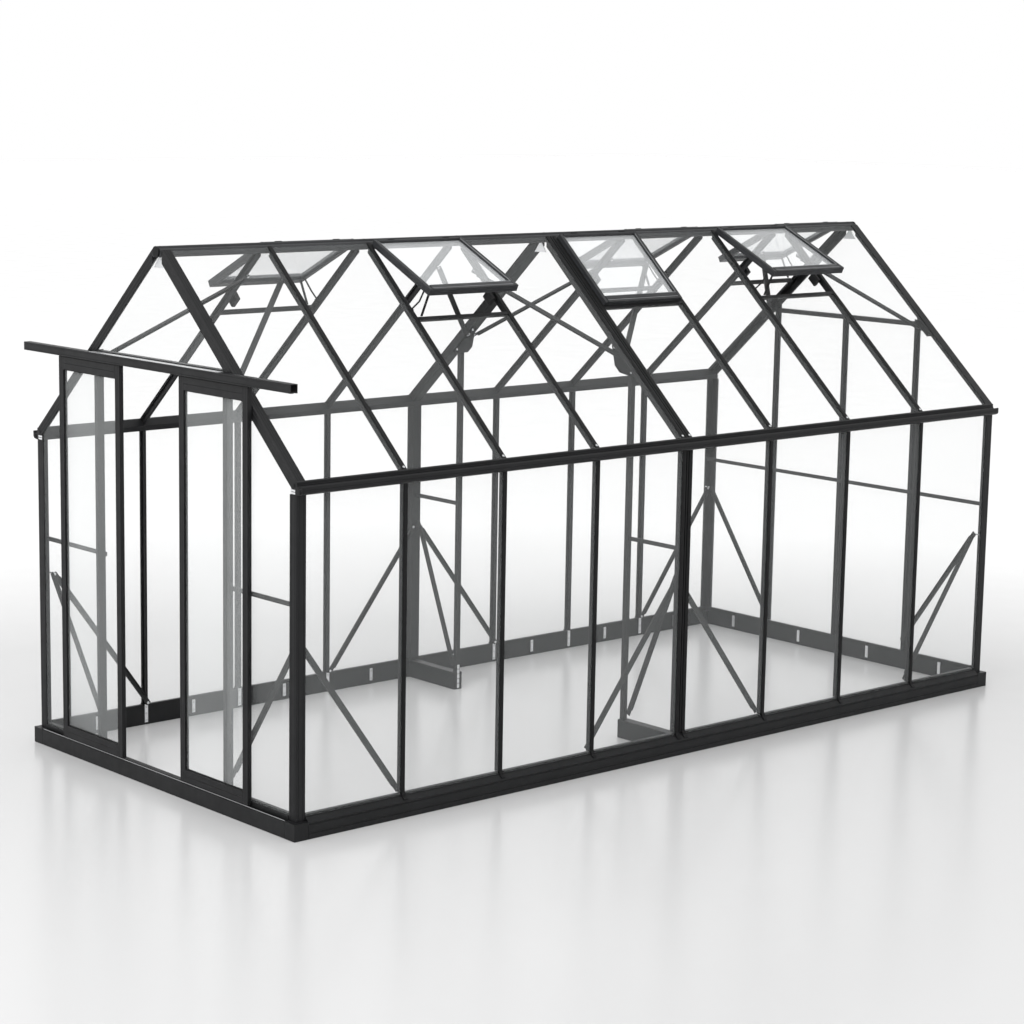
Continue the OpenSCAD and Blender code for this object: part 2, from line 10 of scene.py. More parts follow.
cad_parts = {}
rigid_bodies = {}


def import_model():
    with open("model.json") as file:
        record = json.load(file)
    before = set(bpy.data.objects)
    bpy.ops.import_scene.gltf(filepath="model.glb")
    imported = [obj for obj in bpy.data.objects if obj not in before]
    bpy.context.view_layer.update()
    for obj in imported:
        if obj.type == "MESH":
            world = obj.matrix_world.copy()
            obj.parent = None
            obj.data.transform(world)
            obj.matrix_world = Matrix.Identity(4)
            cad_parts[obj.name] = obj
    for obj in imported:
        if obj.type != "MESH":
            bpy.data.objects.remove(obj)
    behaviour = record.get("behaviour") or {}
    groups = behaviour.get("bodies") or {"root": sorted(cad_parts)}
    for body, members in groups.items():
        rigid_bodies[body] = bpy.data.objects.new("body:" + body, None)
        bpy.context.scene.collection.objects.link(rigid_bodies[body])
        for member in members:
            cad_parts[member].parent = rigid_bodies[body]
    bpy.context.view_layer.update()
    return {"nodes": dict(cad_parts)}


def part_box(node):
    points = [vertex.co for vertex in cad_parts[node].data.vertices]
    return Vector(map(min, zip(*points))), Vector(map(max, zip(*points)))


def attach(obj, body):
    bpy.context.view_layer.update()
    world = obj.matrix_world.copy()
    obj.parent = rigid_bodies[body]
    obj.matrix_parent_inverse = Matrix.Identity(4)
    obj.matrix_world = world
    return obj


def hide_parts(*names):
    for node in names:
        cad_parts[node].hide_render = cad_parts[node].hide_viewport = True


bl_info = {
    "name": "Glass Greenhouse",
    "version": (1, 0, 0),
    "blender": (4, 5, 0),
    "location": "View3D > Sidebar > Greenhouse",
    "description": "Builds the visible pieces and finishes of a glass greenhouse on its frame",
    "category": "Object",
}

for leftover in list(bpy.data.objects):
    bpy.data.objects.remove(leftover)
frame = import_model()
MM = 0.001

# ---------------------------------------------------------------- layout of the house, in metres

BAYS = 8
MID_BAR = BAYS // 2  # the double bar, where the two modules of the house meet
BAY_PITCH = 620 * MM
MODULE_GAP = 30 * MM
GABLE_OUT = 16 * MM  # from the first bar line out to the face of the gable
PITCH = math.radians(42.5)
GABLE_RAFTER_D = 50 * MM
CORNER = 54 * MM  # width of a corner post
POST_T = 14 * MM  # thickness of a corner post
BAR_IN = 41 * MM  # from the wall face to the inner edge of a bar
BRACE_IN = 45.3 * MM  # from the wall face to the back of a brace
BRACE_T = 4 * MM  # thickness of a brace
ROD_R = 4 * MM  # radius of the rods that carry the braces
TWIN = 24.5 * MM  # from the middle of the double bar to each of its caps
FIT = 0.3 * MM  # gap between pieces that meet
# vents: bay counted from the front, side, lift as a share of VENT_LIFT
VENTS = ((3, 1, 1), (5, 1, 0), (7, 1, 1), (2, -1, 1), (6, -1, 1), (8, -1, 1))
VENT_L = 505 * MM
VENT_LIFT = math.radians(16.5)
VENT_CLEAR = 11 * MM  # from the edge of a bay's clear space to its vent
SIDES = (1, -1)
SIDE_NAMES = ((1, "right"), (-1, "left"))
# bolts of the wall braces: height at the head and at the foot
BRACE_HEAD_Z = 899 * MM
BRACE_FOOT_Z = 124 * MM
# bolts of the roof braces: distance up the slope at the foot and at the head
ROOF_BRACE_LOW = 632 * MM
ROOF_BRACE_HIGH = 1263 * MM
WORLD_PLACE = Matrix.Identity(4)
FLOOR_REACH = 90

HALF_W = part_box("corner_posts")[1].x
FRONT_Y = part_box("corner_posts")[0].y
REAR_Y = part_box("corner_posts")[1].y
MID_Y = (FRONT_Y + REAR_Y) / 2
POST_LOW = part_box("corner_posts")[0].z
EAVES_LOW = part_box("eaves_right")[0].z
EAVES_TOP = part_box("gable_rafters")[0].z + GABLE_RAFTER_D * math.cos(PITCH)
EAVE_X = HALF_W - 8 * MM
RIDGE_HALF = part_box("ridge_beam")[1].x
RIDGE_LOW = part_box("ridge_beam")[0].z
RIDGE_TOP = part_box("ridge_beam")[1].z
SLOPE_LEN = (EAVE_X - RIDGE_HALF) / math.cos(PITCH)
VENT_HINGE = SLOPE_LEN - 12 * MM
VENT_LOW = VENT_HINGE - VENT_L
BASE_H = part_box("base_front")[0].z + 79 * MM
LIP_Z = 105 * MM  # top of the outer lip of the base, where the caps start
SILL_Z = 112 * MM  # top of the base, where the bars start
WALL_TOP = EAVES_LOW - FIT
QUARTER_X = HALF_W * 0.495  # gable uprights on both sides of the doorway
HEAD_Z = 2076 * MM  # underside of the bars over the doorway
RAIL_Z = 1075 * MM  # underside of the thin rails
MID_POST_X = 690 * MM
TRACK_LOW, TRACK_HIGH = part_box("door_track")


def bar_y(k):
    """Place of bar number k along a long wall."""
    gap = MODULE_GAP * (0 if k < MID_BAR else 0.5 if k == MID_BAR else 1)
    return FRONT_Y + GABLE_OUT + k * BAY_PITCH + gap


def bar_half(k):
    """Half of what bar number k takes from the clear space of a bay."""
    return (31 if k == MID_BAR else 6.5) * MM


def bay_span(b):
    """Lowest and highest y of the clear space of bay b."""
    low = FRONT_Y + CORNER if b == 1 else bar_y(b - 1) + bar_half(b - 1)
    high = REAR_Y - CORNER if b == BAYS else bar_y(b) - bar_half(b)
    return low, high


def vent_half(b):
    """Half the width of a vent in bay b."""
    low, high = bay_span(b)
    return (high - low) / 2 - VENT_CLEAR


def frame_of(origin, x, y, z):
    """Matrix that puts a piece's own X, Y and Z along the given directions."""
    m = Matrix((x, y, z)).transposed().to_4x4()
    m.translation = origin
    return m


def on_wall(side, y):
    """On a long wall: X outwards from its face, Y along it, Z up."""
    return frame_of((side * HALF_W, y, 0), (side, 0, 0), (0, 1, 0), (0, 0, 1))


def on_slope(side, y):
    """On a roof slope: X out of the roof, Y along it, Z up the slope from the eaves line."""
    out = (side * math.sin(PITCH), 0, math.cos(PITCH))
    up = (-side * math.cos(PITCH), 0, math.sin(PITCH))
    return frame_of((side * EAVE_X, y, EAVES_TOP), out, (0, 1, 0), up)


def on_gable(front, x=0.0):
    """On a gable: X outwards from its face, Y across the house, Z up."""
    y = FRONT_Y if front else REAR_Y
    return frame_of((x, y, 0), (0, -1 if front else 1, 0), (1, 0, 0), (0, 0, 1))


def on_corner(side, front):
    """At an outer corner: X inwards from the wall, Y inwards from the gable, Z up."""
    y = FRONT_Y if front else REAR_Y
    return frame_of((side * HALF_W, y, 0), (-side, 0, 0), (0, 1 if front else -1, 0), (0, 0, 1))


def corners():
    """Places of the four outer corners."""
    return [on_corner(side, front) for side in SIDES for front in (True, False)]


def on_vent(vent):
    """On a vent: X out of its frame, Y along the hinge, Z down the slope from the hinge."""
    bay, side, lift = vent
    low, high = bay_span(bay)
    mid = (low + high) / 2
    turn = Matrix.Rotation(-VENT_LIFT * lift, 4, "Y")
    hinge = Matrix.Translation((1 * MM, 0, VENT_HINGE))
    return on_slope(side, mid) @ hinge @ turn @ Matrix.Diagonal((1, 1, -1, 1))


# ---------------------------------------------------------------- making meshes


def mm(points):
    """Outline given in millimetres, as metres."""
    return [(x * MM, y * MM) for x, y in points]


def eased(points, ease=0.8):
    """Outline in millimetres with each corner cut back by ease."""
    cut = []
    for i, corner in enumerate(points):
        here = Vector(corner)
        for other in (points[i - 1], points[(i + 1) % len(points)]):
            step = Vector(other) - here
            cut.append(tuple(here + step.normalized() * min(ease, step.length * 0.4)))
    return cut


def rectangle(low, high):
    """Corners of a rectangle from its lowest to its highest corner."""
    return [(low[0], low[1]), (high[0], low[1]), (high[0], high[1]), (low[0], high[1])]


def mirrored(half):
    """Closed outline from its half with y of 0 or more, mirrored over y = 0."""
    return list(half) + [(x, -y) for x, y in reversed(half) if y > 1e-9]


class Stock:
    """Solids of one piece, gathered in one mesh."""

    def __init__(self):
        self.bm = bmesh.new()

    def rings(self, rings, place=None):
        """Closed solid through rings of points, with flat ends."""
        place = place or Matrix.Identity(4)
        made = [[self.bm.verts.new(place @ Vector(p)) for p in ring] for ring in rings]
        count = len(made[0])
        for a, b in zip(made, made[1:]):
            for i in range(count):
                j = (i + 1) % count
                self.bm.faces.new((a[i], a[j], b[j], b[i]))
        self.bm.faces.new(list(reversed(made[0])))
        self.bm.faces.new(made[-1])

    def bar(self, outline, place, low, high, low_tilt=(0, 0), high_tilt=(0, 0)):
        """Outline in millimetres run along the place's Z; a tilt cuts an end on a slant."""
        ends = ((low, low_tilt), (high, high_tilt))
        pts = mm(outline)
        self.rings([[(x, y, z + x * t[0] + y * t[1]) for x, y in pts] for z, t in ends], place)

    def box(self, place, low, high, ease=0.8):
        """Box with eased long edges, from its lowest to its highest corner in metres."""
        low, high = [[v / MM for v in corner] for corner in (low, high)]
        self.bar(eased(rectangle(low[:2], high[:2]), ease), place, low[2] * MM, high[2] * MM)

    def turned(self, place, profile, sides=16):
        """Solid turned about the place's Z, from (radius, height) pairs in millimetres."""
        turns = [2 * math.pi * i / sides for i in range(sides)]
        circle = [(math.cos(a), math.sin(a)) for a in turns]
        rings = [[(r * MM * x, r * MM * y, z * MM) for x, y in circle] for r, z in profile]
        self.rings(rings, place)

    def rod(self, a, b, radius, sides=12):
        """Round rod from a to b."""
        a, b = Vector(a), Vector(b)
        place = (b - a).to_track_quat("Z", "Y").to_matrix().to_4x4()
        place.translation = a
        self.turned(place, [(radius / MM, 0), (radius / MM, (b - a).length / MM)], sides)

    def bent(self, points, radius, sides=10):
        """Round wire through a list of points."""
        pts = [Vector(p) for p in points]
        rings = []
        for i, p in enumerate(pts):
            ahead = pts[min(i + 1, len(pts) - 1)] - pts[max(i - 1, 0)]
            turn = ahead.to_track_quat("Z", "Y").to_matrix()
            rings.append(
                [
                    p + turn @ Vector((radius * math.cos(a), radius * math.sin(a), 0))
                    for a in (2 * math.pi * j / sides for j in range(sides))
                ]
            )
        self.rings(rings)

    def bolt(self, place, radius=5.5, height=4):
        """Domed bolt head on a washer, standing on the place's XY plane."""
        washer = radius + 2.2
        self.turned(place, [(washer, -0.5), (washer, 0.9), (washer - 0.6, 1.3)], 20)
        dome = [(radius, 1.2), (radius, height * 0.45)]
        dome += [(radius * 0.8, height * 0.85), (radius * 0.4, height)]
        self.turned(place, dome, 16)

    def done(self, name, material, slot, body="house", replaces=()):
        """Turns the solids into an object that rides on a body."""
        bmesh.ops.recalc_face_normals(self.bm, faces=self.bm.faces[:])
        mesh = bpy.data.meshes.new(name)
        self.bm.to_mesh(mesh)
        self.bm.free()
        mesh.shade_smooth()
        mesh.set_sharp_from_angle(angle=math.radians(32))
        piece = bpy.data.objects.new(name, mesh)
        bpy.context.scene.collection.objects.link(piece)
        mesh.materials.append(material)
        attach(piece, body)
        if replaces:
            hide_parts(*replaces)
        return piece


def facing(origin, direction):
    """Place with its Z along a direction, for bolts and turned parts."""
    place = Vector(direction).to_track_quat("Z", "Y").to_matrix().to_4x4()
    place.translation = origin
    return place


# ---------------------------------------------------------------- finishes


class Nodes:
    """Node tree of one material, with a shader ready to set up."""

    def __init__(self, name):
        self.material = bpy.data.materials.new(name)
        self.material.use_nodes = True
        self.tree = self.material.node_tree
        self.shader = self.tree.nodes["Principled BSDF"]
        self.place = self.tree.nodes.new("ShaderNodeTexCoord").outputs["Object"]

    def noise(self, scale, detail=3.0, stretch=None):
        """Grey noise in the object's own space; stretch scales its axes."""
        node = self.tree.nodes.new("ShaderNodeTexNoise")
        node.inputs["Scale"].default_value = scale
        node.inputs["Detail"].default_value = detail
        source = self.place
        if stretch:
            mapping = self.tree.nodes.new("ShaderNodeMapping")
            mapping.inputs["Scale"].default_value = stretch
            self.tree.links.new(source, mapping.inputs["Vector"])
            source = mapping.outputs["Vector"]
        self.tree.links.new(source, node.inputs["Vector"])
        return node.outputs["Fac"]

    def cells(self, scale):
        """Distance pattern of irregular cells."""
        node = self.tree.nodes.new("ShaderNodeTexVoronoi")
        node.inputs["Scale"].default_value = scale
        self.tree.links.new(self.place, node.inputs["Vector"])
        return node.outputs["Color"]

    def spread(self, source, low, high, start=0.3, end=0.7):
        """Number from low to high as the source goes from start to end."""
        node = self.tree.nodes.new("ShaderNodeMapRange")
        limits = {"From Min": start, "From Max": end, "To Min": low, "To Max": high}
        for socket, value in limits.items():
            node.inputs[socket].default_value = value
        self.tree.links.new(source, node.inputs["Value"])
        return node.outputs["Result"]

    def tones(self, source, dark, light, start=0.3, end=0.7):
        """Colour from dark to light as the source goes from start to end."""
        ramp = self.tree.nodes.new("ShaderNodeValToRGB")
        for element, place, colour in zip(ramp.color_ramp.elements, (start, end), (dark, light)):
            element.position = place
            element.color = (*colour, 1)
        self.tree.links.new(source, ramp.inputs["Fac"])
        return ramp.outputs["Color"]

    def bump(self, source, strength, distance):
        """Surface relief from a grey source."""
        node = self.tree.nodes.new("ShaderNodeBump")
        node.inputs["Strength"].default_value = strength
        node.inputs["Distance"].default_value = distance
        self.tree.links.new(source, node.inputs["Height"])
        self.tree.links.new(node.outputs["Normal"], self.shader.inputs["Normal"])

    def link(self, source, socket):
        """Feeds a socket of the shader."""
        self.tree.links.new(source, self.shader.inputs[socket])

    def set(self, **values):
        """Plain values on the shader's own sockets, with _ for a space in a name."""
        for name, value in values.items():
            self.shader.inputs[name.replace("_", " ")].default_value = value
        return self.material


def shade(colour, factor):
    """Colour made lighter or darker."""
    return tuple(min(1.0, c * factor) for c in colour[:3])


def powder_coat(name, colour, gloss):
    """Satin powder coat: fine orange peel, slight clouding of its tone and gloss."""
    n = Nodes(name)
    cloud = n.noise(7, 4)
    n.link(n.tones(cloud, shade(colour, 0.86), shade(colour, 1.16)), "Base Color")
    n.link(n.spread(n.noise(23, 3), gloss - 0.05, gloss + 0.07), "Roughness")
    n.bump(n.noise(1300, 2), 0.12, 0.0003)
    return n.set(Specular_IOR_Level=0.2)


def rubber(name, colour):
    """Matt black sealing strip."""
    n = Nodes(name)
    n.link(n.tones(n.noise(60, 4), shade(colour, 0.7), shade(colour, 1.5)), "Base Color")
    n.link(n.spread(n.noise(300, 2), 0.6, 0.8), "Roughness")
    return n.set(Specular_IOR_Level=0.3)


def zinc_plate(name, colour):
    """Bright zinc with a faint spangle and rolling lines."""
    n = Nodes(name)
    n.link(n.tones(n.cells(160), shade(colour, 0.8), shade(colour, 1.1), 0.1, 0.9), "Base Color")
    n.link(n.spread(n.noise(90, 3, (1, 1, 12)), 0.24, 0.42), "Roughness")
    n.bump(n.noise(500, 2, (1, 1, 8)), 0.08, 0.0003)
    return n.set(Metallic=0.85)


def clear_glass(name, colour, veil, gloss):
    """Thin pane: mostly see-through, with a mirror film and a faint haze."""
    n = Nodes(name)
    n.link(n.tones(n.noise(2.2, 2), shade(colour, 0.94), shade(colour, 1.04)), "Base Color")
    n.link(n.spread(n.noise(9, 3), gloss, gloss + 0.05), "Roughness")
    return n.set(Alpha=veil, IOR=1.5, Specular_IOR_Level=0.5)


def bolt_steel(name, colour):
    """Stainless bolt heads with turned marks."""
    n = Nodes(name)
    n.link(n.tones(n.noise(400, 2), shade(colour, 0.8), shade(colour, 1.1)), "Base Color")
    n.link(n.spread(n.noise(700, 2), 0.22, 0.38), "Roughness")
    return n.set(Metallic=1.0)


def studio_floor(name, colour, gloss):
    """Pale floor with a soft sheen, grey near the house as painted shade for its shadow and
    reflection, and white far from it.
    """
    n = Nodes(name)
    mapping = n.tree.nodes.new("ShaderNodeMapping")
    reach, centre = 9, Vector((1.5, -1.5, 0))  # in metres
    mapping.inputs["Scale"].default_value = (1 / reach, 1 / reach, 1)
    mapping.inputs["Location"].default_value = -centre / reach
    shade_falloff = n.tree.nodes.new("ShaderNodeTexGradient")
    shade_falloff.gradient_type = "SPHERICAL"
    n.tree.links.new(n.place, mapping.inputs["Vector"])
    n.tree.links.new(mapping.outputs["Vector"], shade_falloff.inputs["Vector"])
    # painted shade: the floor colour turns grey near the house in place of its shadow and
    # reflection
    n.link(n.tones(shade_falloff.outputs["Fac"], (1, 1, 1), colour, 0.08, 0.5), "Base Color")
    n.link(n.spread(n.noise(3, 2), gloss - 0.01, gloss + 0.02), "Roughness")
    return n.set(Specular_IOR_Level=0.4)


def finish(kind):
    """The finish of that name, made on first use from the colours in the panel."""
    known = bpy.data.materials.get(kind)
    if known:
        return known
    look = bpy.context.scene.greenhouse_finishes
    gloss = look.coat_gloss
    makers = {
        "charcoal_coat": (powder_coat, look.coat, gloss),
        "edge_coat": (powder_coat, look.edge, gloss),
        "vent_coat": (powder_coat, look.vent_coat, gloss),
        "inside_coat": (powder_coat, look.inside, gloss + 0.05),
        "base_coat": (powder_coat, look.base, gloss),
        "cap_plastic": (powder_coat, look.caps, gloss + 0.04),
        "seal_rubber": (rubber, look.rubber),
        "zinc": (zinc_plate, look.zinc),
        "bolt_steel": (bolt_steel, look.zinc),
        "wall_glass": (clear_glass, look.glass, look.wall_veil, 0.02),
        "roof_glass": (clear_glass, look.glass, look.roof_veil, 0.02),
        "door_glass": (clear_glass, look.glass, look.door_veil, 0.02),
        "vent_glass": (clear_glass, look.vent_tint, look.vent_veil, 0.03),
        "floor": (studio_floor, look.floor, look.floor_gloss),
    }
    maker, *values = makers[kind]
    return maker(kind, *values)


# ---------------------------------------------------------------- sections, in millimetres
# First number: depth, 0 at the outer face and negative inwards. Second: width.

CAP = mirrored([(-5, 12.5), (-1.8, 12.5), (-0.4, 11.6), (0, 10.4), (0, 1.8), (-1.3, 0)])
RIB = mirrored([(-5, 5), (-1.2, 5), (0, 3.8), (0, 0)])
GLAZING_BAR = mirrored(
    [
        (-5.2, 2), (-9.8, 2), (-9.8, 10.5), (-12, 10.5), (-13, 2.4), (-31, 2.4), (-33, 6),
        (-37, 6.5), (-40.4, 5), (-41, 3),
    ]
)
DOUBLE_BAR = mirrored(
    [
        (-5.3, 31), (-18, 31), (-19.4, 29.6), (-20.8, 31), (-31, 31), (-32.4, 29.6), (-33.8, 31),
        (-44, 31), (-45, 30),
    ]
)
# angle section: depth, and inwards from the face of the gable
GABLE_RAFTER = [
    (-1.4, 0), (0, 1.4), (0, 12.5), (-1.6, 13.6), (0, 14.7), (0, 25.6), (-2, 27), (0, 28.4),
    (0, 39.3), (-1.6, 40.4), (0, 41.5), (0, 52.6), (-1.4, 54), (-12.6, 54), (-14, 52.6),
    (-14, 15.4), (-15.4, 14), (-48.6, 14), (-50, 12.6), (-50, 1.4), (-48.6, 0), (-36.4, 0),
    (-35.2, 1.4), (-34, 0), (-18, 0), (-16.8, 1.4), (-15.6, 0),
]
DOOR_POST = mirrored(
    [(-1, 0), (0, 1), (0, 12), (-1, 13), (-18, 13), (-19, 12), (-20, 13), (-40, 13), (-41, 12)]
)
# angle section, open towards the inside of the house
CORNER_POST = [
    (0, 3), (0, 13), (1.6, 14.2), (0, 15.4), (0, 38.6), (1.6, 39.8), (0, 41), (0, 53), (1, 54),
    (13, 54), (14, 53), (14, 16), (16, 14), (53, 14), (54, 13), (54, 1), (53, 0), (41, 0),
    (39.8, 1.6), (38.6, 0), (15.4, 0), (14.2, 1.6), (13, 0), (3, 0), (0.9, 0.9),
]
# outwards from the wall face, and up from the underside of the eaves
EAVES = [
    (-41.5, 0), (5, 0), (6.5, 1.4), (8, 0.4), (22, 2), (33, 7), (38.4, 12.6), (40, 17), (40, 24),
    (38.6, 25.2), (40, 26.4), (40, 38), (39.2, 41), (37, 42.5), (34.8, 41), (34, 38.5), (31, 31),
    (29, 29.4), (12, 28), (9.4, 29.6), (4, 39), (2, 41), (2, 46), (0, 47.5), (0, 59),
    (-7.7, 63.7), (-41.5, 26.8),
]
# up from the underside of the ridge, and across
RIDGE = mirrored(
    [
        (0, 0), (0, 29), (10, 41), (13, 41), (14, 39.8), (15, 41), (26, 41), (28, 40), (39, 30),
        (40, 28), (40.4, 14), (42, 10), (46, 9), (49.8, 7.2), (52.2, 3.8), (53, 0),
    ]
)
# out of the vent, and inwards from its outer edge
VENT_SIDE = [
    (-12, 0), (2, 0), (3.2, 1.5), (4.4, 0), (22, 0), (24, 1.6), (24, 9), (22.4, 10.4), (24, 11.8),
    (24, 17.6), (22.5, 19), (17.4, 20.6), (17.4, 24), (-12, 24),
]
VENT_TOP_RAIL = [
    (-12, 0), (22, 0), (24, 1.6), (24, 8), (22.4, 9.2), (24, 10.4), (24, 13), (22, 15),
    (17.4, 16), (-12, 16),
]
VENT_LOW_RAIL = [
    (-12, 0), (2, 0), (3.6, 1.8), (5.2, 0), (22, 0), (24, 1.6), (24, 13), (21.4, 15), (21.4, 18.6),
    (24, 20.6), (24, 40), (22.5, 42), (17.4, 45), (17.4, 50), (-12, 50),
]
# inwards from the outer face of the track, and up
TRACK = [
    (1, 0), (19, 0), (19, 3), (3, 3), (3, 39), (37, 39), (37, 3), (33, 3), (33, 0), (39, 0),
    (40, 1), (40, 41), (39, 42), (2, 42), (0, 40.5), (0, 34), (1, 33), (0, 32), (0, 9), (1, 8),
    (0, 7), (0, 1),
]
# across a door frame bar, and out of it
STILE = [
    (0, 1), (1, 0), (12, 0), (13, 1.2), (14, 0), (27, 0), (28, 1.2), (29, 0), (40, 0), (41, 1),
    (41, 23), (40, 24), (1, 24), (0, 23),
]


# ---------------------------------------------------------------- settings


class GreenhouseFinishes(bpy.types.PropertyGroup):
    """Colours, roughness and clearness of the finishes"""

    coat: bpy.props.FloatVectorProperty(
        name="Coat",
        description="Colour of the outer bars",
        default=(0.011, 0.0112, 0.012),
        subtype="COLOR",
    )
    inside: bpy.props.FloatVectorProperty(
        name="Inside Coat",
        description="Colour of the braces and inner rails",
        default=(0.022, 0.0225, 0.023),
        subtype="COLOR",
    )
    # painted highlight: light grey for the bright lines along the grooves and edges of the vent
    # frames
    edge: bpy.props.FloatVectorProperty(
        name="Edges",
        description="Colour of the worn edge lines of the vents",
        default=(0.2, 0.205, 0.21),
        subtype="COLOR",
    )
    # lighter copy of the charcoal coat: painted highlight on the vent frames and the ridge
    vent_coat: bpy.props.FloatVectorProperty(
        name="Vent Coat",
        description="Colour of the vent frames",
        default=(0.03, 0.031, 0.033),
        subtype="COLOR",
    )
    base: bpy.props.FloatVectorProperty(
        name="Base Coat",
        description="Colour of the base frame",
        default=(0.0105, 0.0108, 0.0115),
        subtype="COLOR",
    )
    caps: bpy.props.FloatVectorProperty(
        name="Caps",
        description="Colour of the caps over the bars",
        default=(0.0042, 0.0043, 0.0048),
        subtype="COLOR",
    )
    rubber: bpy.props.FloatVectorProperty(
        name="Rubber",
        description="Colour of the seals",
        default=(0.012, 0.012, 0.012),
        subtype="COLOR",
    )
    zinc: bpy.props.FloatVectorProperty(
        name="Zinc",
        description="Colour of plated parts",
        default=(0.72, 0.73, 0.74),
        subtype="COLOR",
    )
    glass: bpy.props.FloatVectorProperty(
        name="Glass",
        description="Tint of the panes",
        default=(0.86, 0.89, 0.89),
        subtype="COLOR",
    )
    # the grey of the floor near the house is painted shade, fading to white further off
    floor: bpy.props.FloatVectorProperty(
        name="Floor",
        description="Colour of the studio floor",
        default=(0.62, 0.62, 0.622),
        subtype="COLOR",
    )
    coat_gloss: bpy.props.FloatProperty(
        name="Coat Roughness",
        description="Roughness of the powder coat",
        default=0.42,
        min=0,
        max=1,
        subtype="FACTOR",
    )
    roof_veil: bpy.props.FloatProperty(
        name="Roof Glass Veil",
        description="How much of each roof pane face shows",
        default=0.03,
        min=0,
        max=1,
        subtype="FACTOR",
    )
    wall_veil: bpy.props.FloatProperty(
        name="Wall Glass Veil",
        description="How much of each wall pane face shows",
        default=0.05,
        min=0,
        max=1,
        subtype="FACTOR",
    )
    door_veil: bpy.props.FloatProperty(
        name="Door Glass Veil",
        description="How much of each door pane face shows",
        default=0.1,
        min=0,
        max=1,
        subtype="FACTOR",
    )
    vent_veil: bpy.props.FloatProperty(
        name="Vent Glass Veil",
        description="How much of each vent pane face shows",
        default=0.27,
        min=0,
        max=1,
        subtype="FACTOR",
    )
    vent_tint: bpy.props.FloatVectorProperty(
        name="Vent Glass",
        description="Tint of the vent panes",
        default=(0.84, 0.86, 0.87),
        subtype="COLOR",
    )
    floor_gloss: bpy.props.FloatProperty(
        name="Floor Roughness",
        description="Roughness of the floor",
        default=0.22,
        min=0,
        max=1,
        subtype="FACTOR",
    )


class GreenhouseSizes(bpy.types.PropertyGroup):
    """Sizes of the small parts"""

    bolt: bpy.props.FloatProperty(
        name="Bolt Head",
        description="Radius of the bolt heads on the braces",
        default=5.5 * MM,
        min=0.002,
        max=0.012,
        unit="LENGTH",
    )
    seal: bpy.props.FloatProperty(
        name="Seal",
        description="Width of the seals round the door glass",
        default=4 * MM,
        min=0.001,
        max=0.01,
        unit="LENGTH",
    )
    plate: bpy.props.FloatProperty(
        name="Plate",
        description="Thickness of the joining plates",
        default=3 * MM,
        min=0.001,
        max=0.006,
        unit="LENGTH",
    )


class GreenhouseStage(bpy.types.PropertyGroup):
    """Camera and light"""

    eye: bpy.props.FloatVectorProperty(
        name="Eye",
        description="Place of the camera",
        default=(10.006, -9.177, 3.415),
        subtype="TRANSLATION",
        unit="LENGTH",
    )
    heading: bpy.props.FloatProperty(
        name="Heading",
        description="Direction of view from +X towards +Y",
        default=math.radians(139.50),
        subtype="ANGLE",
    )
    tilt: bpy.props.FloatProperty(
        name="Tilt",
        description="Direction of view above the horizon",
        default=math.radians(-9.577),
        subtype="ANGLE",
    )
    roll: bpy.props.FloatProperty(
        name="Roll",
        description="Turn of the camera about its view",
        default=math.radians(0.774),
        subtype="ANGLE",
    )
    lens: bpy.props.FloatProperty(
        name="Lens",
        description="Focal length on a 36 mm sensor",
        default=87.86,
        min=10,
        max=300,
        unit="CAMERA",
    )
    shift: bpy.props.FloatProperty(
        name="Shift",
        description="Sideways shift of the lens, as a share of the frame",
        default=0.0586,
    )
    sky: bpy.props.FloatProperty(
        name="Sky", description="Strength of the white surroundings", default=1.0, min=0
    )
    lamp: bpy.props.FloatProperty(
        name="Lamp",
        description="Power of the large soft lamp",
        default=520.0,
        min=0,
        unit="POWER",
    )


# ---------------------------------------------------------------- pieces


def along_house(side, z, x=0.0):
    """Place for a section run along the house: X outwards, Y up, Z towards the rear."""
    return frame_of((side * x, 0, z), (side, 0, 0), (0, 0, 1), (0, 1, 0))


def across_house(y, z=0.0, x=0.0, side=1):
    """Place for a section run across the house: X towards the rear, Y up, Z to that side."""
    return frame_of((x, y, z), (0, 1, 0), (0, 0, 1), (side, 0, 0))


def under_rafters(x, depth):
    """Height of a line under the gable or middle rafters at x, depth below the roof plane."""
    return EAVES_TOP + (EAVE_X - abs(x)) * math.tan(PITCH) - depth / math.cos(PITCH)


def paint(kind, *nodes):
    """Gives CAD nodes a finish."""
    for name in nodes:
        slots = frame["nodes"][name].data.materials
        slots.clear()
        slots.append(finish(kind))


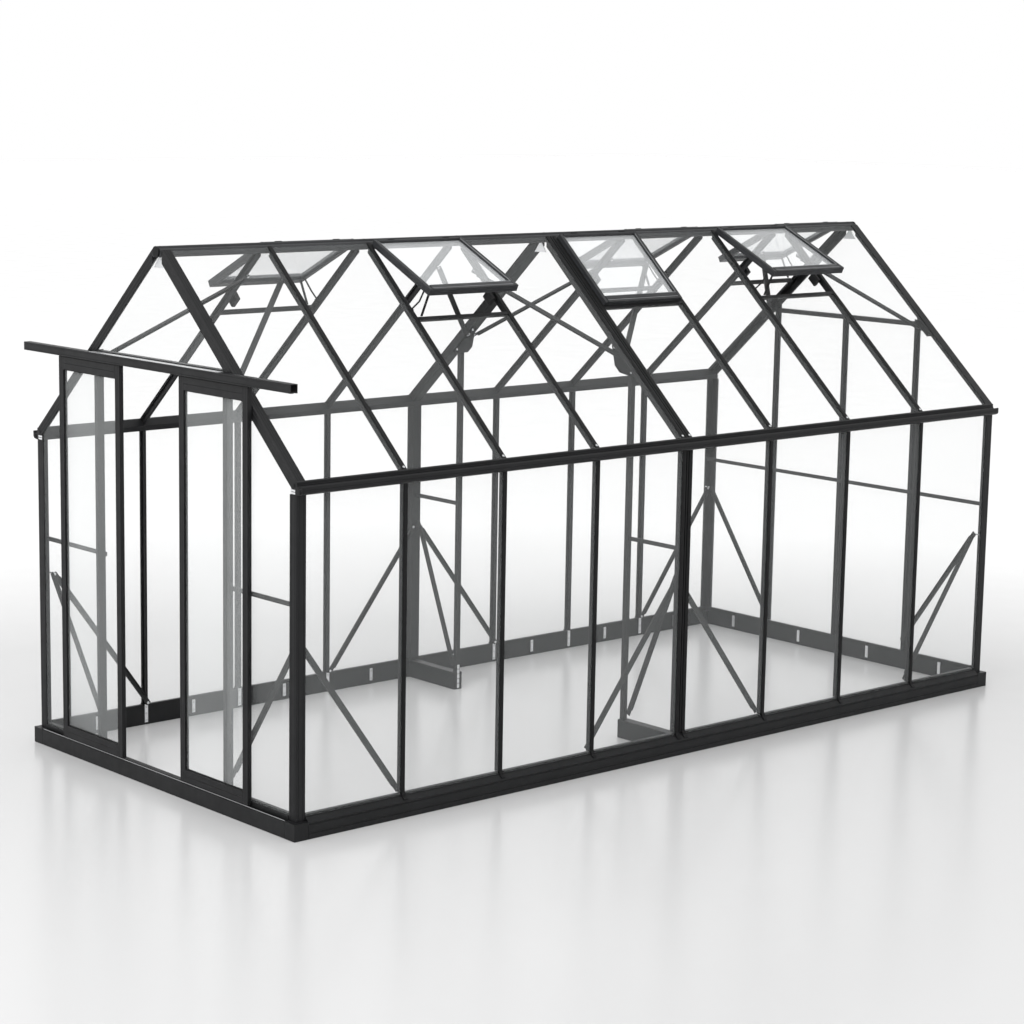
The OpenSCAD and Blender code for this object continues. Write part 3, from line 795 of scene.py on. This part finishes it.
class GREENHOUSE_OT_base(bpy.types.Operator):
    """Base frame with its corner blocks, threshold, door guide and the feet of the caps"""

    bl_idname = "greenhouse.base"
    bl_label = "Base"

    def execute(self, context):
        paint("base_coat", "base_left", "base_right", "base_rear")
        blocks = Stock()
        for place in corners():
            blocks.box(place, (-27 * MM, -27 * MM, 0), (CORNER, CORNER, POST_LOW - FIT), 1.6)
        blocks.done("corner_blocks", finish("base_coat"), "base", replaces=("base_corners",))
        self.threshold()
        self.guide()
        self.cap_feet()
        return {"FINISHED"}

    def threshold(self):
        """Front rail of the base, with an upstand on both sides of the doorway."""
        low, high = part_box("base_front")
        depth = (high.y - low.y) / MM
        face = [(0, 1), (1, 0), (depth, 0), (depth, 79), (27, 79), (24, 77.5), (12, 76.8)]
        face += [(10, 79), (2, 79), (0, 77)]
        upstand = [(24, 79.3), (57, 79.3), (57, 112), (38, 112), (38, 92), (31, 92), (31, 105)]
        upstand += [(26, 105), (24, 103)]
        front = Stock()
        front.bar(face, across_house(low.y, x=low.x), 0, high.x - low.x)
        start, end = QUARTER_X + 14 * MM, HALF_W - CORNER - FIT
        for span in ((start, end), (-end, -start)):
            front.bar(upstand, across_house(low.y), *span)
        front.done("front_threshold", finish("base_coat"), "base", replaces=("base_front",))

    def guide(self):
        """Guide rail of the doors: a low channel with a painted highlight along its front edge."""
        low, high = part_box("door_guide")
        guide = Stock()
        place = across_house(*low.yz, x=low.x)
        channel = [(0, 0), (8, 0), (8, 6), (6.8, 6), (6.8, 1.4), (1.2, 1.4), (1.2, 6), (0, 6)]
        guide.bar(channel, place, 0, high.x - low.x)
        guide.done("guide_channel", finish("inside_coat"), "base", replaces=("door_guide",))
        # painted highlight: a bright zinc strip along the front edge of the channel
        painted_highlight = Stock()
        end = high.x - low.x - 2 * MM
        painted_highlight.box(place, (-0.6 * MM, 3.6 * MM, 2 * MM), (0, 5.6 * MM, end), 0.1)
        painted_highlight.done("guide_highlight", finish("zinc"), "zinc")

    def cap_feet(self):
        """Ends of the wall caps, hooked over the lip and down the slope of the base."""
        feet = Stock()
        hook = [(-1, 118), (2.5, 118), (4, 116), (7.4, 107), (8, 101), (24, 88.5), (23, 83.5)]
        hook += [(5, 97.5), (3.2, 105.2), (-1, 105.6)]
        for side in SIDES:
            for k in range(1, BAYS):
                half = (12 if k == MID_BAR else 11) * MM
                for shift in (-TWIN, TWIN) if k == MID_BAR else (0,):
                    y = bar_y(k) + shift
                    place = frame_of((side * HALF_W, y, 0), (side, 0, 0), (0, 0, 1), (0, 1, 0))
                    feet.bar(hook, place, -half, half)
        feet.done("cap_feet", finish("cap_plastic"), "bar_caps")


def cap_bar(stock, place, k, low, high, tilt=(0, 0)):
    """Cap over bar k, or the two caps and the middle rib of the double bar."""
    if k != MID_BAR:
        stock.bar(CAP, place, low, high, high_tilt=tilt)
        return
    for shift in (-TWIN, TWIN):
        stock.bar(CAP, place @ Matrix.Translation((0, shift, 0)), low, high, high_tilt=tilt)
    stock.bar(RIB, place, low, high, high_tilt=tilt)


class GREENHOUSE_OT_walls(bpy.types.Operator):
    """Corner posts, glazing bars and caps of the long walls"""

    bl_idname = "greenhouse.walls"
    bl_label = "Walls"

    def execute(self, context):
        posts = Stock()
        coat = finish("charcoal_coat")
        for place in corners():
            posts.bar(CORNER_POST, place, POST_LOW, WALL_TOP)
        posts.done("corner_post_profiles", coat, "frame", replaces=("corner_posts",))
        for side, name in SIDE_NAMES:
            bars = Stock()
            for k in range(1, BAYS):
                if k != MID_BAR:
                    bars.bar(GLAZING_BAR, on_wall(side, bar_y(k)), SILL_Z, WALL_TOP)
            bars.done(f"{name}_wall_bars", coat, "frame", replaces=(f"wall_bars_{name}",))
        caps = Stock()
        for side in SIDES:
            for k in range(1, BAYS):
                cap_bar(caps, on_wall(side, bar_y(k)), k, LIP_Z, WALL_TOP)
        caps.done("wall_bar_caps", finish("cap_plastic"), "bar_caps", replaces=("wall_caps",))
        return {"FINISHED"}


class GREENHOUSE_OT_roof(bpy.types.Operator):
    """Rafters and their caps, gable rafters and the double bars of the middle joint"""

    bl_idname = "greenhouse.roof"
    bl_label = "Roof Bars"

    def execute(self, context):
        coat = finish("charcoal_coat")
        cut = (math.tan(PITCH), 0)  # the upright cut at the ridge
        for side, name in SIDE_NAMES:
            rafters = Stock()
            for k in range(1, BAYS):
                if k != MID_BAR:
                    rafters.bar(GLAZING_BAR, on_slope(side, bar_y(k)), 0, SLOPE_LEN, high_tilt=cut)
            rafters.done(f"{name}_rafters", coat, "frame", replaces=(f"rafters_{name}",))
        caps, wide, double = Stock(), Stock(), Stock()
        for side in SIDES:
            for k in range(1, BAYS):
                cap_bar(caps, on_slope(side, bar_y(k)), k, 0, SLOPE_LEN, cut)
            for y, turn in ((FRONT_Y, 1), (REAR_Y, -1)):
                place = on_slope(side, y) @ Matrix.Diagonal((1, turn, 1, 1))
                wide.bar(GABLE_RAFTER, place, 0, SLOPE_LEN, high_tilt=cut)
            double.bar(DOUBLE_BAR, on_slope(side, bar_y(MID_BAR)), 0, SLOPE_LEN, high_tilt=cut)
            double.bar(DOUBLE_BAR, on_wall(side, bar_y(MID_BAR)), SILL_Z, WALL_TOP)
        caps.done("roof_bar_caps", finish("cap_plastic"), "bar_caps", replaces=("rafter_caps",))
        wide.done("gable_rafter_profiles", coat, "frame", replaces=("gable_rafters",))
        double.done("double_bars", coat, "frame", replaces=("joint_bars",))
        return {"FINISHED"}


class GREENHOUSE_OT_eaves(bpy.types.Operator):
    """Eaves gutters with their ends, the corner plates and the bolts of the rafter feet"""

    bl_idname = "greenhouse.eaves"
    bl_label = "Eaves"

    def execute(self, context):
        low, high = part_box("eaves_right")
        short = 1.2 * MM  # room for the caps over the ends
        for side, name in SIDE_NAMES:
            gutter = Stock()
            place = along_house(side, EAVES_LOW, HALF_W)
            gutter.bar(EAVES, place, low.y + short, high.y - short)
            gutter.done(
                f"{name}_gutter", finish("charcoal_coat"), "frame", replaces=(f"eaves_{name}",)
            )
        self.fixings()
        return {"FINISHED"}

    def fixings(self):
        """Plates over the corner joints, bolts at the rafter feet and rounded gutter ends."""
        plates, bolts, ends = Stock(), Stock(), Stock()
        # the doors pass close in front, so nothing here stands far out of the gable
        for place in corners():
            for low, high in ((3, 12), (15, 24)):
                plates.box(
                    place,
                    (12 * MM, -1 * MM, EAVES_LOW + low * MM),
                    (47 * MM, 0, EAVES_LOW + high * MM),
                    0.5,
                )
            out = (place.to_3x3() @ Vector((0, -1, 0))).normalized()
            knob = place @ Vector((22 * MM, 0, EAVES_LOW + 42 * MM))
            ends.turned(facing(knob, out), [(11, -2), (11, 0.5), (9.8, 1)], 18)
            tip = place @ Vector((-21 * MM, 0, EAVES_LOW + 15 * MM))
            ends.turned(facing(tip, out), [(11, -3), (11, 2), (9.5, 3.5), (4, 4)], 18)
        for side in SIDES:
            for k in range(1, BAYS):
                for shift in (-TWIN, TWIN) if k == MID_BAR else (0,):
                    slope = on_slope(side, bar_y(k) + shift)
                    bolts.bolt(slope @ facing((0, 0, 14 * MM), (1, 0, 0)), 4.5, 3.5)
        plates.done("corner_plates", finish("zinc"), "zinc")
        bolts.done("rafter_foot_bolts", finish("bolt_steel"), "zinc")
        ends.done("gutter_ends", finish("cap_plastic"), "frame")


class GREENHOUSE_OT_ridge(bpy.types.Operator):
    """Ridge with its beads and studs, and the dark end caps"""

    bl_idname = "greenhouse.ridge"
    bl_label = "Ridge"

    def execute(self, context):
        low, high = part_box("ridge_beam")
        ridge = Stock()
        upright = frame_of((0, 0, low.z), (0, 0, 1), (1, 0, 0), (0, 1, 0))
        ridge.bar(RIDGE, upright, low.y, high.y)
        # the ridge takes the lighter copy of the coat, a painted highlight
        ridge.done("ridge_profile", finish("vent_coat"), "frame", replaces=("ridge_beam",))
        paint("cap_plastic", "ridge_ends")
        studs = Stock()
        for k in range(BAYS + 1):
            y = FRONT_Y + GABLE_OUT + k * BAY_PITCH
            studs.bolt(facing((0, y, RIDGE_TOP - 1.5 * MM), (0, 0, 1)), 4, 2)
        studs.done("ridge_studs", finish("cap_plastic"), "frame")
        return {"FINISHED"}


class GREENHOUSE_OT_gables(bpy.types.Operator):
    """Uprights, head bars and thin rails of both gables"""

    bl_idname = "greenhouse.gables"
    bl_label = "Gables"

    def execute(self, context):
        coat = finish("charcoal_coat")
        bars, posts = Stock(), Stock()
        slant = math.tan(PITCH)
        top = under_rafters(QUARTER_X, GABLE_RAFTER_D + FIT)
        for x, tilt in ((-QUARTER_X, (0, slant)), (QUARTER_X, (0, -slant))):
            for section in (GLAZING_BAR, CAP):
                bars.bar(section, on_gable(False, x), SILL_Z, top, high_tilt=tilt)
            posts.bar(DOOR_POST, on_gable(True, x), BASE_H + FIT, top, high_tilt=tilt)
        for section in (GLAZING_BAR, CAP):
            bars.bar(section, on_gable(False), SILL_Z, HEAD_Z)
        bars.done("rear_gable_bars", coat, "frame", replaces=("gable_bars_rear",))
        posts.done("doorway_posts", coat, "frame", replaces=("gable_bars_front",))
        self.rails()
        return {"FINISHED"}

    def rails(self):
        """Head bars, and the thin rails across the gables and beside the middle posts."""
        rails = Stock()
        rear_head = [(0, 1), (-1, 0), (-40, 0), (-41, 1), (-41, 25), (-40, 26), (-1, 26), (0, 25)]
        rear_head += [(0, 14), (-1, 13), (0, 12)]
        front_head = [(x, z + 18 if z > 11 else z) for x, z in rear_head]
        thin = [(-9, 0), (-10, 1), (-10, 21), (-9, 22), (-1, 22), (0, 21), (0, 12), (-0.8, 11)]
        thin += [(0, 10), (0, 1), (-1, 0)]
        end = HALF_W - POST_T - FIT
        start = QUARTER_X - 10 * MM
        gables = (
            (FRONT_Y, -1, front_head, 13 * MM, ((start, end), (-end, -start))),
            (REAR_Y, 1, rear_head, 12.5 * MM, ((-end, end),)),
        )
        for y, out, head, post_half, spans in gables:
            place = frame_of((0, y, HEAD_Z), (0, out, 0), (0, 0, 1), (1, 0, 0))
            half = QUARTER_X - post_half - FIT
            rails.bar(head, place, -half, half)
            inside = place @ Matrix.Translation((-BAR_IN - FIT, RAIL_Z - HEAD_Z, 0))
            for span in spans:
                rails.bar(thin, inside, *span)
        for side in SIDES:
            place = across_house(MID_Y + 5 * MM, RAIL_Z, side=side)
            rails.bar(thin, place, MID_POST_X + 14.3 * MM, HALF_W - BAR_IN - 4.3 * MM)
        rails.done("rails", finish("inside_coat"), "frame", replaces=("gable_rails",))


class GREENHOUSE_OT_middle(bpy.types.Operator):
    """Posts and low sills of the middle frame, with their foot plates"""

    bl_idname = "greenhouse.middle"
    bl_label = "Middle Frame"

    def execute(self, context):
        posts, sills, feet = Stock(), Stock(), Stock()
        post = [(-14, 0), (-14, 13), (-13, 14), (-1, 14), (0, 13), (1, 14), (13, 14), (14, 13)]
        post = mirrored([*post, (14, 0)])
        sill = [(-28, 0), (28, 0), (28, 22), (25.6, 24), (25.6, 28), (28, 30), (28, 70), (25.6, 72)]
        sill += [(25.6, 76), (28, 78), (28, 99), (27, 100), (-27, 100), (-28, 99)]
        for side in SIDES:
            place = frame_of((side * MID_POST_X, MID_Y, 0), (side, 0, 0), (0, 1, 0), (0, 0, 1))
            top = under_rafters(MID_POST_X, BAR_IN + 4.3 * MM)
            posts.bar(post, place, 100 * MM + FIT, top, high_tilt=(-math.tan(PITCH), 0))
            across = across_house(MID_Y, side=side)
            sills.bar(sill, across, MID_POST_X - 14 * MM, HALF_W - 30 * MM - FIT)
            inner = -14 * MM - FIT
            outer = inner - 3 * MM
            for z in (8, 36, 64, 92, 120):
                feet.box(place, (outer, -8 * MM, z * MM), (inner, 8 * MM, (z + 24) * MM), 0.5)
                bolt = place @ Vector((outer, 0, (z + 12) * MM))
                feet.bolt(facing(bolt, (-side, 0, 0)), 3.4, 3)
        coat = finish("inside_coat")
        posts.done("middle_post_profiles", coat, "frame", replaces=("middle_posts",))
        sills.done("middle_sill_profiles", finish("base_coat"), "base", replaces=("middle_sills",))
        feet.done("middle_foot_plates", finish("zinc"), "zinc")
        return {"FINISHED"}


class GREENHOUSE_OT_braces(bpy.types.Operator):
    """Diagonal braces with the bolts at their ends, the gussets and the apex plates"""

    bl_idname = "greenhouse.braces"
    bl_label = "Braces"

    def execute(self, context):
        paint("inside_coat", "wall_braces", "gable_braces", "roof_braces")
        sizes = context.scene.greenhouse_sizes
        bolts = Stock()
        self.wall_bolts(bolts, sizes.bolt / MM)
        self.roof_bolts(bolts, sizes.bolt / MM)
        bolts.done("brace_bolts", finish("bolt_steel"), "zinc")
        self.gussets(sizes.plate)
        return {"FINISHED"}

    def wall_bolts(self, bolts, radius):
        """Bolts at the ends of the wall braces, with the rods that carry them."""
        x = HALF_W - BRACE_IN
        reach = BAY_PITCH + 6 * MM
        front, rear = bar_y(0), bar_y(BAYS)
        ends = [(front + 48 * MM, BRACE_HEAD_Z), (front + reach - 5 * MM, BRACE_FOOT_Z)]
        ends += [(rear - 48 * MM, BRACE_HEAD_Z), (rear - reach + 5 * MM, BRACE_FOOT_Z)]
        for e in SIDES:
            ends.append((MID_Y + e * 23 * MM, BRACE_HEAD_Z))
            ends.append((MID_Y + e * (reach + 4 * MM), BRACE_FOOT_Z))
        rod_z = BRACE_HEAD_Z + 6 * MM
        for side in SIDES:
            for y, z in ends:
                bolts.bolt(facing((side * (x - BRACE_T), y, z), (-side, 0, 0)), radius)
                bolts.rod((side * x, y, z), (side * (x + BRACE_T), y, z), ROD_R)
            for y in (front + 38 * MM, rear - 38 * MM):
                post = (side * (HALF_W - POST_T), y, rod_z)
                bolts.rod((side * x, y + 6 * MM, rod_z), post, ROD_R)

    def roof_bolts(self, bolts, radius):
        """Bolts at the ends of the roof braces, and rods from them up to the rafters."""
        # where a brace starts, which way it runs, and in mm its foot and what its bay has extra
        starts = (
            (bar_y(0), 1, 18, 0),
            (bar_y(BAYS), -1, 18, 0),
            (MID_Y, 1, 22, 15),
            (MID_Y, -1, 22, 15),
        )
        for side in SIDES:
            slope = on_slope(side, 0)
            inwards = slope.to_3x3() @ Vector((-1, 0, 0))
            for y, turn, foot, gap in starts:
                ends = ((foot * MM, ROOF_BRACE_LOW), (BAY_PITCH + gap * MM, ROOF_BRACE_HIGH))
                for along, up in ends:
                    under = slope @ Vector((-55 * MM, y + turn * along, up))
                    bolts.bolt(facing(under, inwards), radius)
                    bolts.rod(under, under - inwards * 12 * MM, ROD_R)

    def gussets(self, thick):
        """Plates at the feet of the roof braces, and the apex plates under the ridge."""
        dark, light = Stock(), Stock()
        corner = [(-46, 470), (-46, 700), (-60, 700), (-120, 610), (-120, 560), (-60, 470)]
        for side in SIDES:
            foot = on_slope(side, MID_Y)
            place = foot @ frame_of((0, -17 * MM, 0), (1, 0, 0), (0, 0, 1), (0, 1, 0))
            dark.bar(corner, place, 0, thick)
            for z in (500, 640, 680):
                light.bolt(foot @ facing((-53 * MM, -17 * MM, z * MM), (0, -1, 0)), 4.5, 3.5)
        for side in SIDES:
            slope = on_slope(side, 0)
            for y in (FRONT_Y + 14.3 * MM, REAR_Y - 52 * MM):
                end = (-14 * MM - FIT, y + 37.7 * MM, 672 * MM)
                dark.box(slope, (-50 * MM, y, 575 * MM), end, 2)
        top = RIDGE_LOW / MM
        plate = [(-48, top - 52), (-40, top - 44), (-8, top - 1)]
        plate += [(-x, z) for x, z in reversed(plate)]
        for y in (FRONT_Y + 15 * MM, REAR_Y - 18 * MM, MID_Y - 36 * MM):
            place = frame_of((0, y, 0), (1, 0, 0), (0, 0, 1), (0, 1, 0))
            light.bar(plate, place, 0, thick)
        dark.done("middle_gussets", finish("cap_plastic"), "frame")
        light.done("apex_plates", finish("zinc"), "zinc")


class GREENHOUSE_OT_glass(bpy.types.Operator):
    """Panes of the walls, roof, gables, vents and doors"""

    bl_idname = "greenhouse.glass"
    bl_label = "Glass"

    def execute(self, context):
        paint("wall_glass", "wall_glass_left", "wall_glass_right")
        paint("wall_glass", "gable_glass_front", "gable_glass_rear")
        paint("roof_glass", "roof_glass_left", "roof_glass_right")
        paint("door_glass", "left_door_glass", "right_door_glass")
        paint("vent_glass", "vent_glass")
        return {"FINISHED"}


class GREENHOUSE_OT_vents(bpy.types.Operator):
    """Frames of the six roof vents with their hinges, hooks and stays"""

    bl_idname = "greenhouse.vents"
    bl_label = "Roof Vents"

    def execute(self, context):
        paint("charcoal_coat", "slam_bars", "vent_stays")
        self.openers()
        frames, edges = Stock(), Stock()
        for vent in VENTS:
            place = on_vent(vent)
            half = vent_half(vent[0])
            across = half - 24 * MM - FIT
            for e in SIDES:
                edge = place @ Matrix.Translation((0, e * half, 0)) @ Matrix.Diagonal((1, -e, 1, 1))
                frames.bar(VENT_SIDE, edge, 0, VENT_L)
            for z, turn, section in ((0, 1, VENT_TOP_RAIL), (VENT_L, -1, VENT_LOW_RAIL)):
                edge = place @ frame_of((0, 0, z), (1, 0, 0), (0, 0, turn), (0, 1, 0))
                frames.bar(section, edge, -across, across)
            # painted highlights: light grey lines along the grooves and edges of the vent rails and
            # sides
            for inner in (14.4, 42.6):
                line = place @ Matrix.Translation((0, 0, VENT_L - inner * MM))
                edges.box(line, (22.6 * MM, -across, -2.4 * MM), (24.4 * MM, across, 1.2 * MM), 0.3)
            for e in SIDES:
                line = place @ Matrix.Translation((0, e * (half - 19 * MM), 0))
                end = (23.4 * MM, 1.4 * MM, VENT_L - 46 * MM)
                edges.box(line, (20 * MM, -1.4 * MM, 16 * MM), end, 0.3)
        edges.done("vent_highlight_lines", finish("edge_coat"), "frame")
        # the vent frames take the lighter copy of the coat, a painted highlight
        frames.done("vent_frame_profiles", finish("vent_coat"), "frame", replaces=("vent_frames",))
        return {"FINISHED"}

    def openers(self):
        """Curled hook and opener block at each open vent, and the hinge pins of every vent."""
        wires, dark = Stock(), Stock()
        for vent in VENTS:
            bay, side, lift = vent
            low, high = bay_span(bay)
            slope = on_slope(side, 0)
            for y in (low + 0.2 * (high - low), high - 0.2 * (high - low)):
                middle, half = Vector((24 * MM, y, VENT_HINGE + 4 * MM)), Vector((0, 20 * MM, 0))
                dark.rod(slope @ (middle - half), slope @ (middle + half), 3.5 * MM)
            if not lift:
                continue
            end, turn = (high, 1) if side < 0 else (low, -1)
            along = turn * (vent_half(bay) - 30 * MM)
            top = on_vent(vent) @ Vector((-10 * MM, along, VENT_L - 70 * MM))
            foot = slope @ Vector((-8 * MM, end - turn * 8 * MM, VENT_LOW + 60 * MM))
            knee = (top + foot) / 2 + Vector((0, 6 * MM, -14 * MM))
            curl = [
                foot + Vector((0, -turn * 12 * MM * math.sin(t), 12 * MM * (math.cos(t) - 1)))
                for t in range(6)
            ]
            wires.bent([top, knee, *curl], 4.5 * MM)
            start = low + 10 * MM if side < 0 else high - 36 * MM
            block = slope @ Matrix.Translation((0, start, VENT_LOW + 130 * MM))
            dark.box(block, (-62 * MM, 0, -30 * MM), (-8 * MM, 26 * MM, 30 * MM), 5)
        wires.done("vent_hooks", finish("inside_coat"), "frame")
        dark.done("vent_hinges", finish("cap_plastic"), "frame")


class GREENHOUSE_OT_doors(bpy.types.Operator):
    """Frames of both door leaves with their seals and hangers, and the track"""

    bl_idname = "greenhouse.doors"
    bl_label = "Doors"

    def execute(self, context):
        stile = 41 * MM + FIT
        for name in ("left_door", "right_door"):
            low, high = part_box(f"{name}_frame")
            leaf = Stock()
            width, height = high.x - low.x, high.z - low.z
            for x, turn in ((low.x, 1), (high.x, -1)):
                place = frame_of((x, low.y, low.z), (turn, 0, 0), (0, 1, 0), (0, 0, 1))
                leaf.bar(STILE, place, 0, height)
            for z, tall in ((0, 62), (height - 64 * MM, 64)):
                corner = (low.x + stile, low.y, low.z + z)
                place = frame_of(corner, (0, 0, 1), (0, 1, 0), (1, 0, 0))
                middle = tall / 2
                rail = [(0, 1), (1, 0), (middle - 1, 0), (middle, 1.2), (middle + 1, 0)]
                rail += [(tall - 1, 0), (tall, 1), (tall, 23), (tall - 1, 24), (1, 24), (0, 23)]
                leaf.bar(rail, place, 0, width - 2 * stile)
            coat = finish("charcoal_coat")
            leaf.done(f"{name}_profiles", coat, "door_metal", name, (f"{name}_frame",))
            brush = Stock()
            edge = Matrix.Translation((low.x, low.y, high.z))
            gap = TRACK_LOW.z - high.z
            brush.box(edge, (1 * MM, 1 * MM, 0), (width - 1 * MM, 4 * MM, gap - 0.8 * MM), 0.3)
            brush.done(f"{name}_brush", finish("seal_rubber"), "door_metal", name)
            self.seals(context, name)
            paint("zinc", f"{name}_hangers")
        self.track()
        return {"FINISHED"}

    def seals(self, context, name):
        """Rubber strips round the glass of a leaf, on both faces."""
        low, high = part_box(f"{name}_glass")
        wide = context.scene.greenhouse_sizes.seal
        thick = 2.2 * MM
        seals = Stock()
        for y in (low.y - thick, high.y):
            for x in (low.x, high.x - wide):
                seals.box(WORLD_PLACE, (x, y, low.z), (x + wide, y + thick, high.z), 0.5)
            for z in (low.z, high.z - wide):
                start, end = (low.x + wide, y, z), (high.x - wide, y + thick, z + wide)
                seals.box(WORLD_PLACE, start, end, 0.5)
        seals.done(f"{name}_seals", finish("seal_rubber"), "door_metal", name)

    def track(self):
        """Box track with its slot and open ends, the blocks that carry it and a bright zinc strip
        on top as a painted highlight.
        """
        track = Stock()
        track.bar(TRACK, across_house(*TRACK_LOW.yz), TRACK_LOW.x, TRACK_HIGH.x)
        for x in (-QUARTER_X, QUARTER_X):
            track.box(
                WORLD_PLACE,
                (x - 16 * MM, TRACK_HIGH.y, TRACK_LOW.z + 4 * MM),
                (x + 16 * MM, FRONT_Y, TRACK_HIGH.z - 4 * MM),
            )
        track.done("track_profile", finish("charcoal_coat"), "door_metal", replaces=("door_track",))
        # painted highlight: a bright zinc strip on the top face of the track
        strip = Stock()
        strip.box(
            WORLD_PLACE,
            (-QUARTER_X, TRACK_LOW.y + 4 * MM, TRACK_HIGH.z),
            (QUARTER_X, TRACK_HIGH.y, TRACK_HIGH.z + 1 * MM),
            0.3,
        )
        strip.done("track_highlight", finish("zinc"), "zinc")


class GREENHOUSE_OT_clips(bpy.types.Operator):
    """Zinc-plated clips inside the base, with their bolts"""

    bl_idname = "greenhouse.clips"
    bl_label = "Base Clips"

    def execute(self, context):
        paint("zinc", "base_clips")
        bolts = Stock()
        inner = HALF_W - 33 * MM - FIT
        for side in SIDES:
            for b in range(1, BAYS + 1):
                middle = (bar_y(b) + bar_y(b - 1)) / 2
                for z in (34, 78):
                    bolts.bolt(facing((side * inner, middle, z * MM), (-side, 0, 0)), 4, 4)
                if b not in (MID_BAR, BAYS):
                    for z in (26, 62, 98):
                        bolts.bolt(facing((side * inner, bar_y(b), z * MM), (-side, 0, 0)), 4, 4)
        bolts.done("clip_bolts", finish("bolt_steel"), "zinc")
        return {"FINISHED"}


class GREENHOUSE_OT_stage(bpy.types.Operator):
    """Pale floor, white surroundings, soft lamp and the camera"""

    bl_idname = "greenhouse.stage"
    bl_label = "Stage"

    def execute(self, context):
        stage = context.scene.greenhouse_stage
        bm = bmesh.new()
        bmesh.ops.create_grid(bm, x_segments=1, y_segments=1, size=FLOOR_REACH)
        mesh = bpy.data.meshes.new("studio_floor")
        bm.to_mesh(mesh)
        bm.free()
        mesh.materials.append(finish("floor"))
        floor = bpy.data.objects.new("studio_floor", mesh)
        context.scene.collection.objects.link(floor)
        floor.location.z = -0.5 * MM
        context.scene.view_settings.view_transform = "Standard"
        self.light(context, stage)
        self.camera(context, stage)
        return {"FINISHED"}

    def light(self, context, stage):
        """White surroundings and one large lamp above the front right."""
        world = bpy.data.worlds.new("white_studio")
        context.scene.world = world
        world.use_nodes = True
        background = world.node_tree.nodes["Background"]
        background.inputs["Strength"].default_value = stage.sky
        background.inputs["Color"].default_value = (1, 1, 1, 1)
        lamp = bpy.data.lights.new("soft_lamp", "AREA")
        lamp.shape = "RECTANGLE"
        lamp.size, lamp.size_y = 7, 5
        lamp.energy = stage.lamp
        holder = bpy.data.objects.new("soft_lamp", lamp)
        context.scene.collection.objects.link(holder)
        holder.location = (3, -7, 9)
        aim = Vector((0, 0, 1)) - holder.location
        holder.rotation_euler = aim.to_track_quat("-Z", "Y").to_euler()

    def camera(self, context, stage):
        """Camera at the set place, looking along its heading and tilt."""
        look = Vector(
            (
                math.cos(stage.tilt) * math.cos(stage.heading),
                math.cos(stage.tilt) * math.sin(stage.heading),
                math.sin(stage.tilt),
            )
        )
        right = look.cross(Vector((0, 0, 1))).normalized()
        up = right.cross(look)
        c, s = math.cos(stage.roll), math.sin(stage.roll)
        lens = bpy.data.cameras.new("camera")
        lens.lens = stage.lens
        lens.shift_x = stage.shift
        lens.clip_end = 300
        camera = bpy.data.objects.new("camera", lens)
        context.scene.collection.objects.link(camera)
        turned = (c * right + s * up, c * up - s * right, -look)
        camera.matrix_world = frame_of(Vector(stage.eye), *turned)
        context.scene.camera = camera


# ---------------------------------------------------------------- panel and registration

OPERATORS = (
    GREENHOUSE_OT_base,
    GREENHOUSE_OT_walls,
    GREENHOUSE_OT_roof,
    GREENHOUSE_OT_eaves,
    GREENHOUSE_OT_ridge,
    GREENHOUSE_OT_gables,
    GREENHOUSE_OT_middle,
    GREENHOUSE_OT_braces,
    GREENHOUSE_OT_glass,
    GREENHOUSE_OT_vents,
    GREENHOUSE_OT_doors,
    GREENHOUSE_OT_clips,
    GREENHOUSE_OT_stage,
)
SETTINGS = (GreenhouseFinishes, GreenhouseSizes, GreenhouseStage)


class GREENHOUSE_PT_panel(bpy.types.Panel):
    """Lists the settings and the pieces of the greenhouse"""

    bl_label = "Greenhouse"
    bl_idname = "GREENHOUSE_PT_panel"
    bl_space_type = "VIEW_3D"
    bl_region_type = "UI"
    bl_category = "Greenhouse"

    def draw(self, context):
        scene = context.scene
        for group in (scene.greenhouse_finishes, scene.greenhouse_sizes, scene.greenhouse_stage):
            box = self.layout.box()
            for name in group.__annotations__:
                box.prop(group, name)
        for operator in OPERATORS:
            self.layout.operator(operator.bl_idname)


def register():
    """Adds the settings, operators and panel to Blender."""
    for cls in (*SETTINGS, *OPERATORS, GREENHOUSE_PT_panel):
        bpy.utils.register_class(cls)
    bpy.types.Scene.greenhouse_finishes = bpy.props.PointerProperty(type=GreenhouseFinishes)
    bpy.types.Scene.greenhouse_sizes = bpy.props.PointerProperty(type=GreenhouseSizes)
    bpy.types.Scene.greenhouse_stage = bpy.props.PointerProperty(type=GreenhouseStage)


def unregister():
    """Takes them away again."""
    for name in ("greenhouse_finishes", "greenhouse_sizes", "greenhouse_stage"):
        delattr(bpy.types.Scene, name)
    for cls in reversed((*SETTINGS, *OPERATORS, GREENHOUSE_PT_panel)):
        bpy.utils.unregister_class(cls)


def main():
    """Builds everything in order."""
    register()
    for operator in OPERATORS:
        group, name = operator.bl_idname.split(".")
        getattr(getattr(bpy.ops, group), name)()


if __name__ == "__main__":
    main()
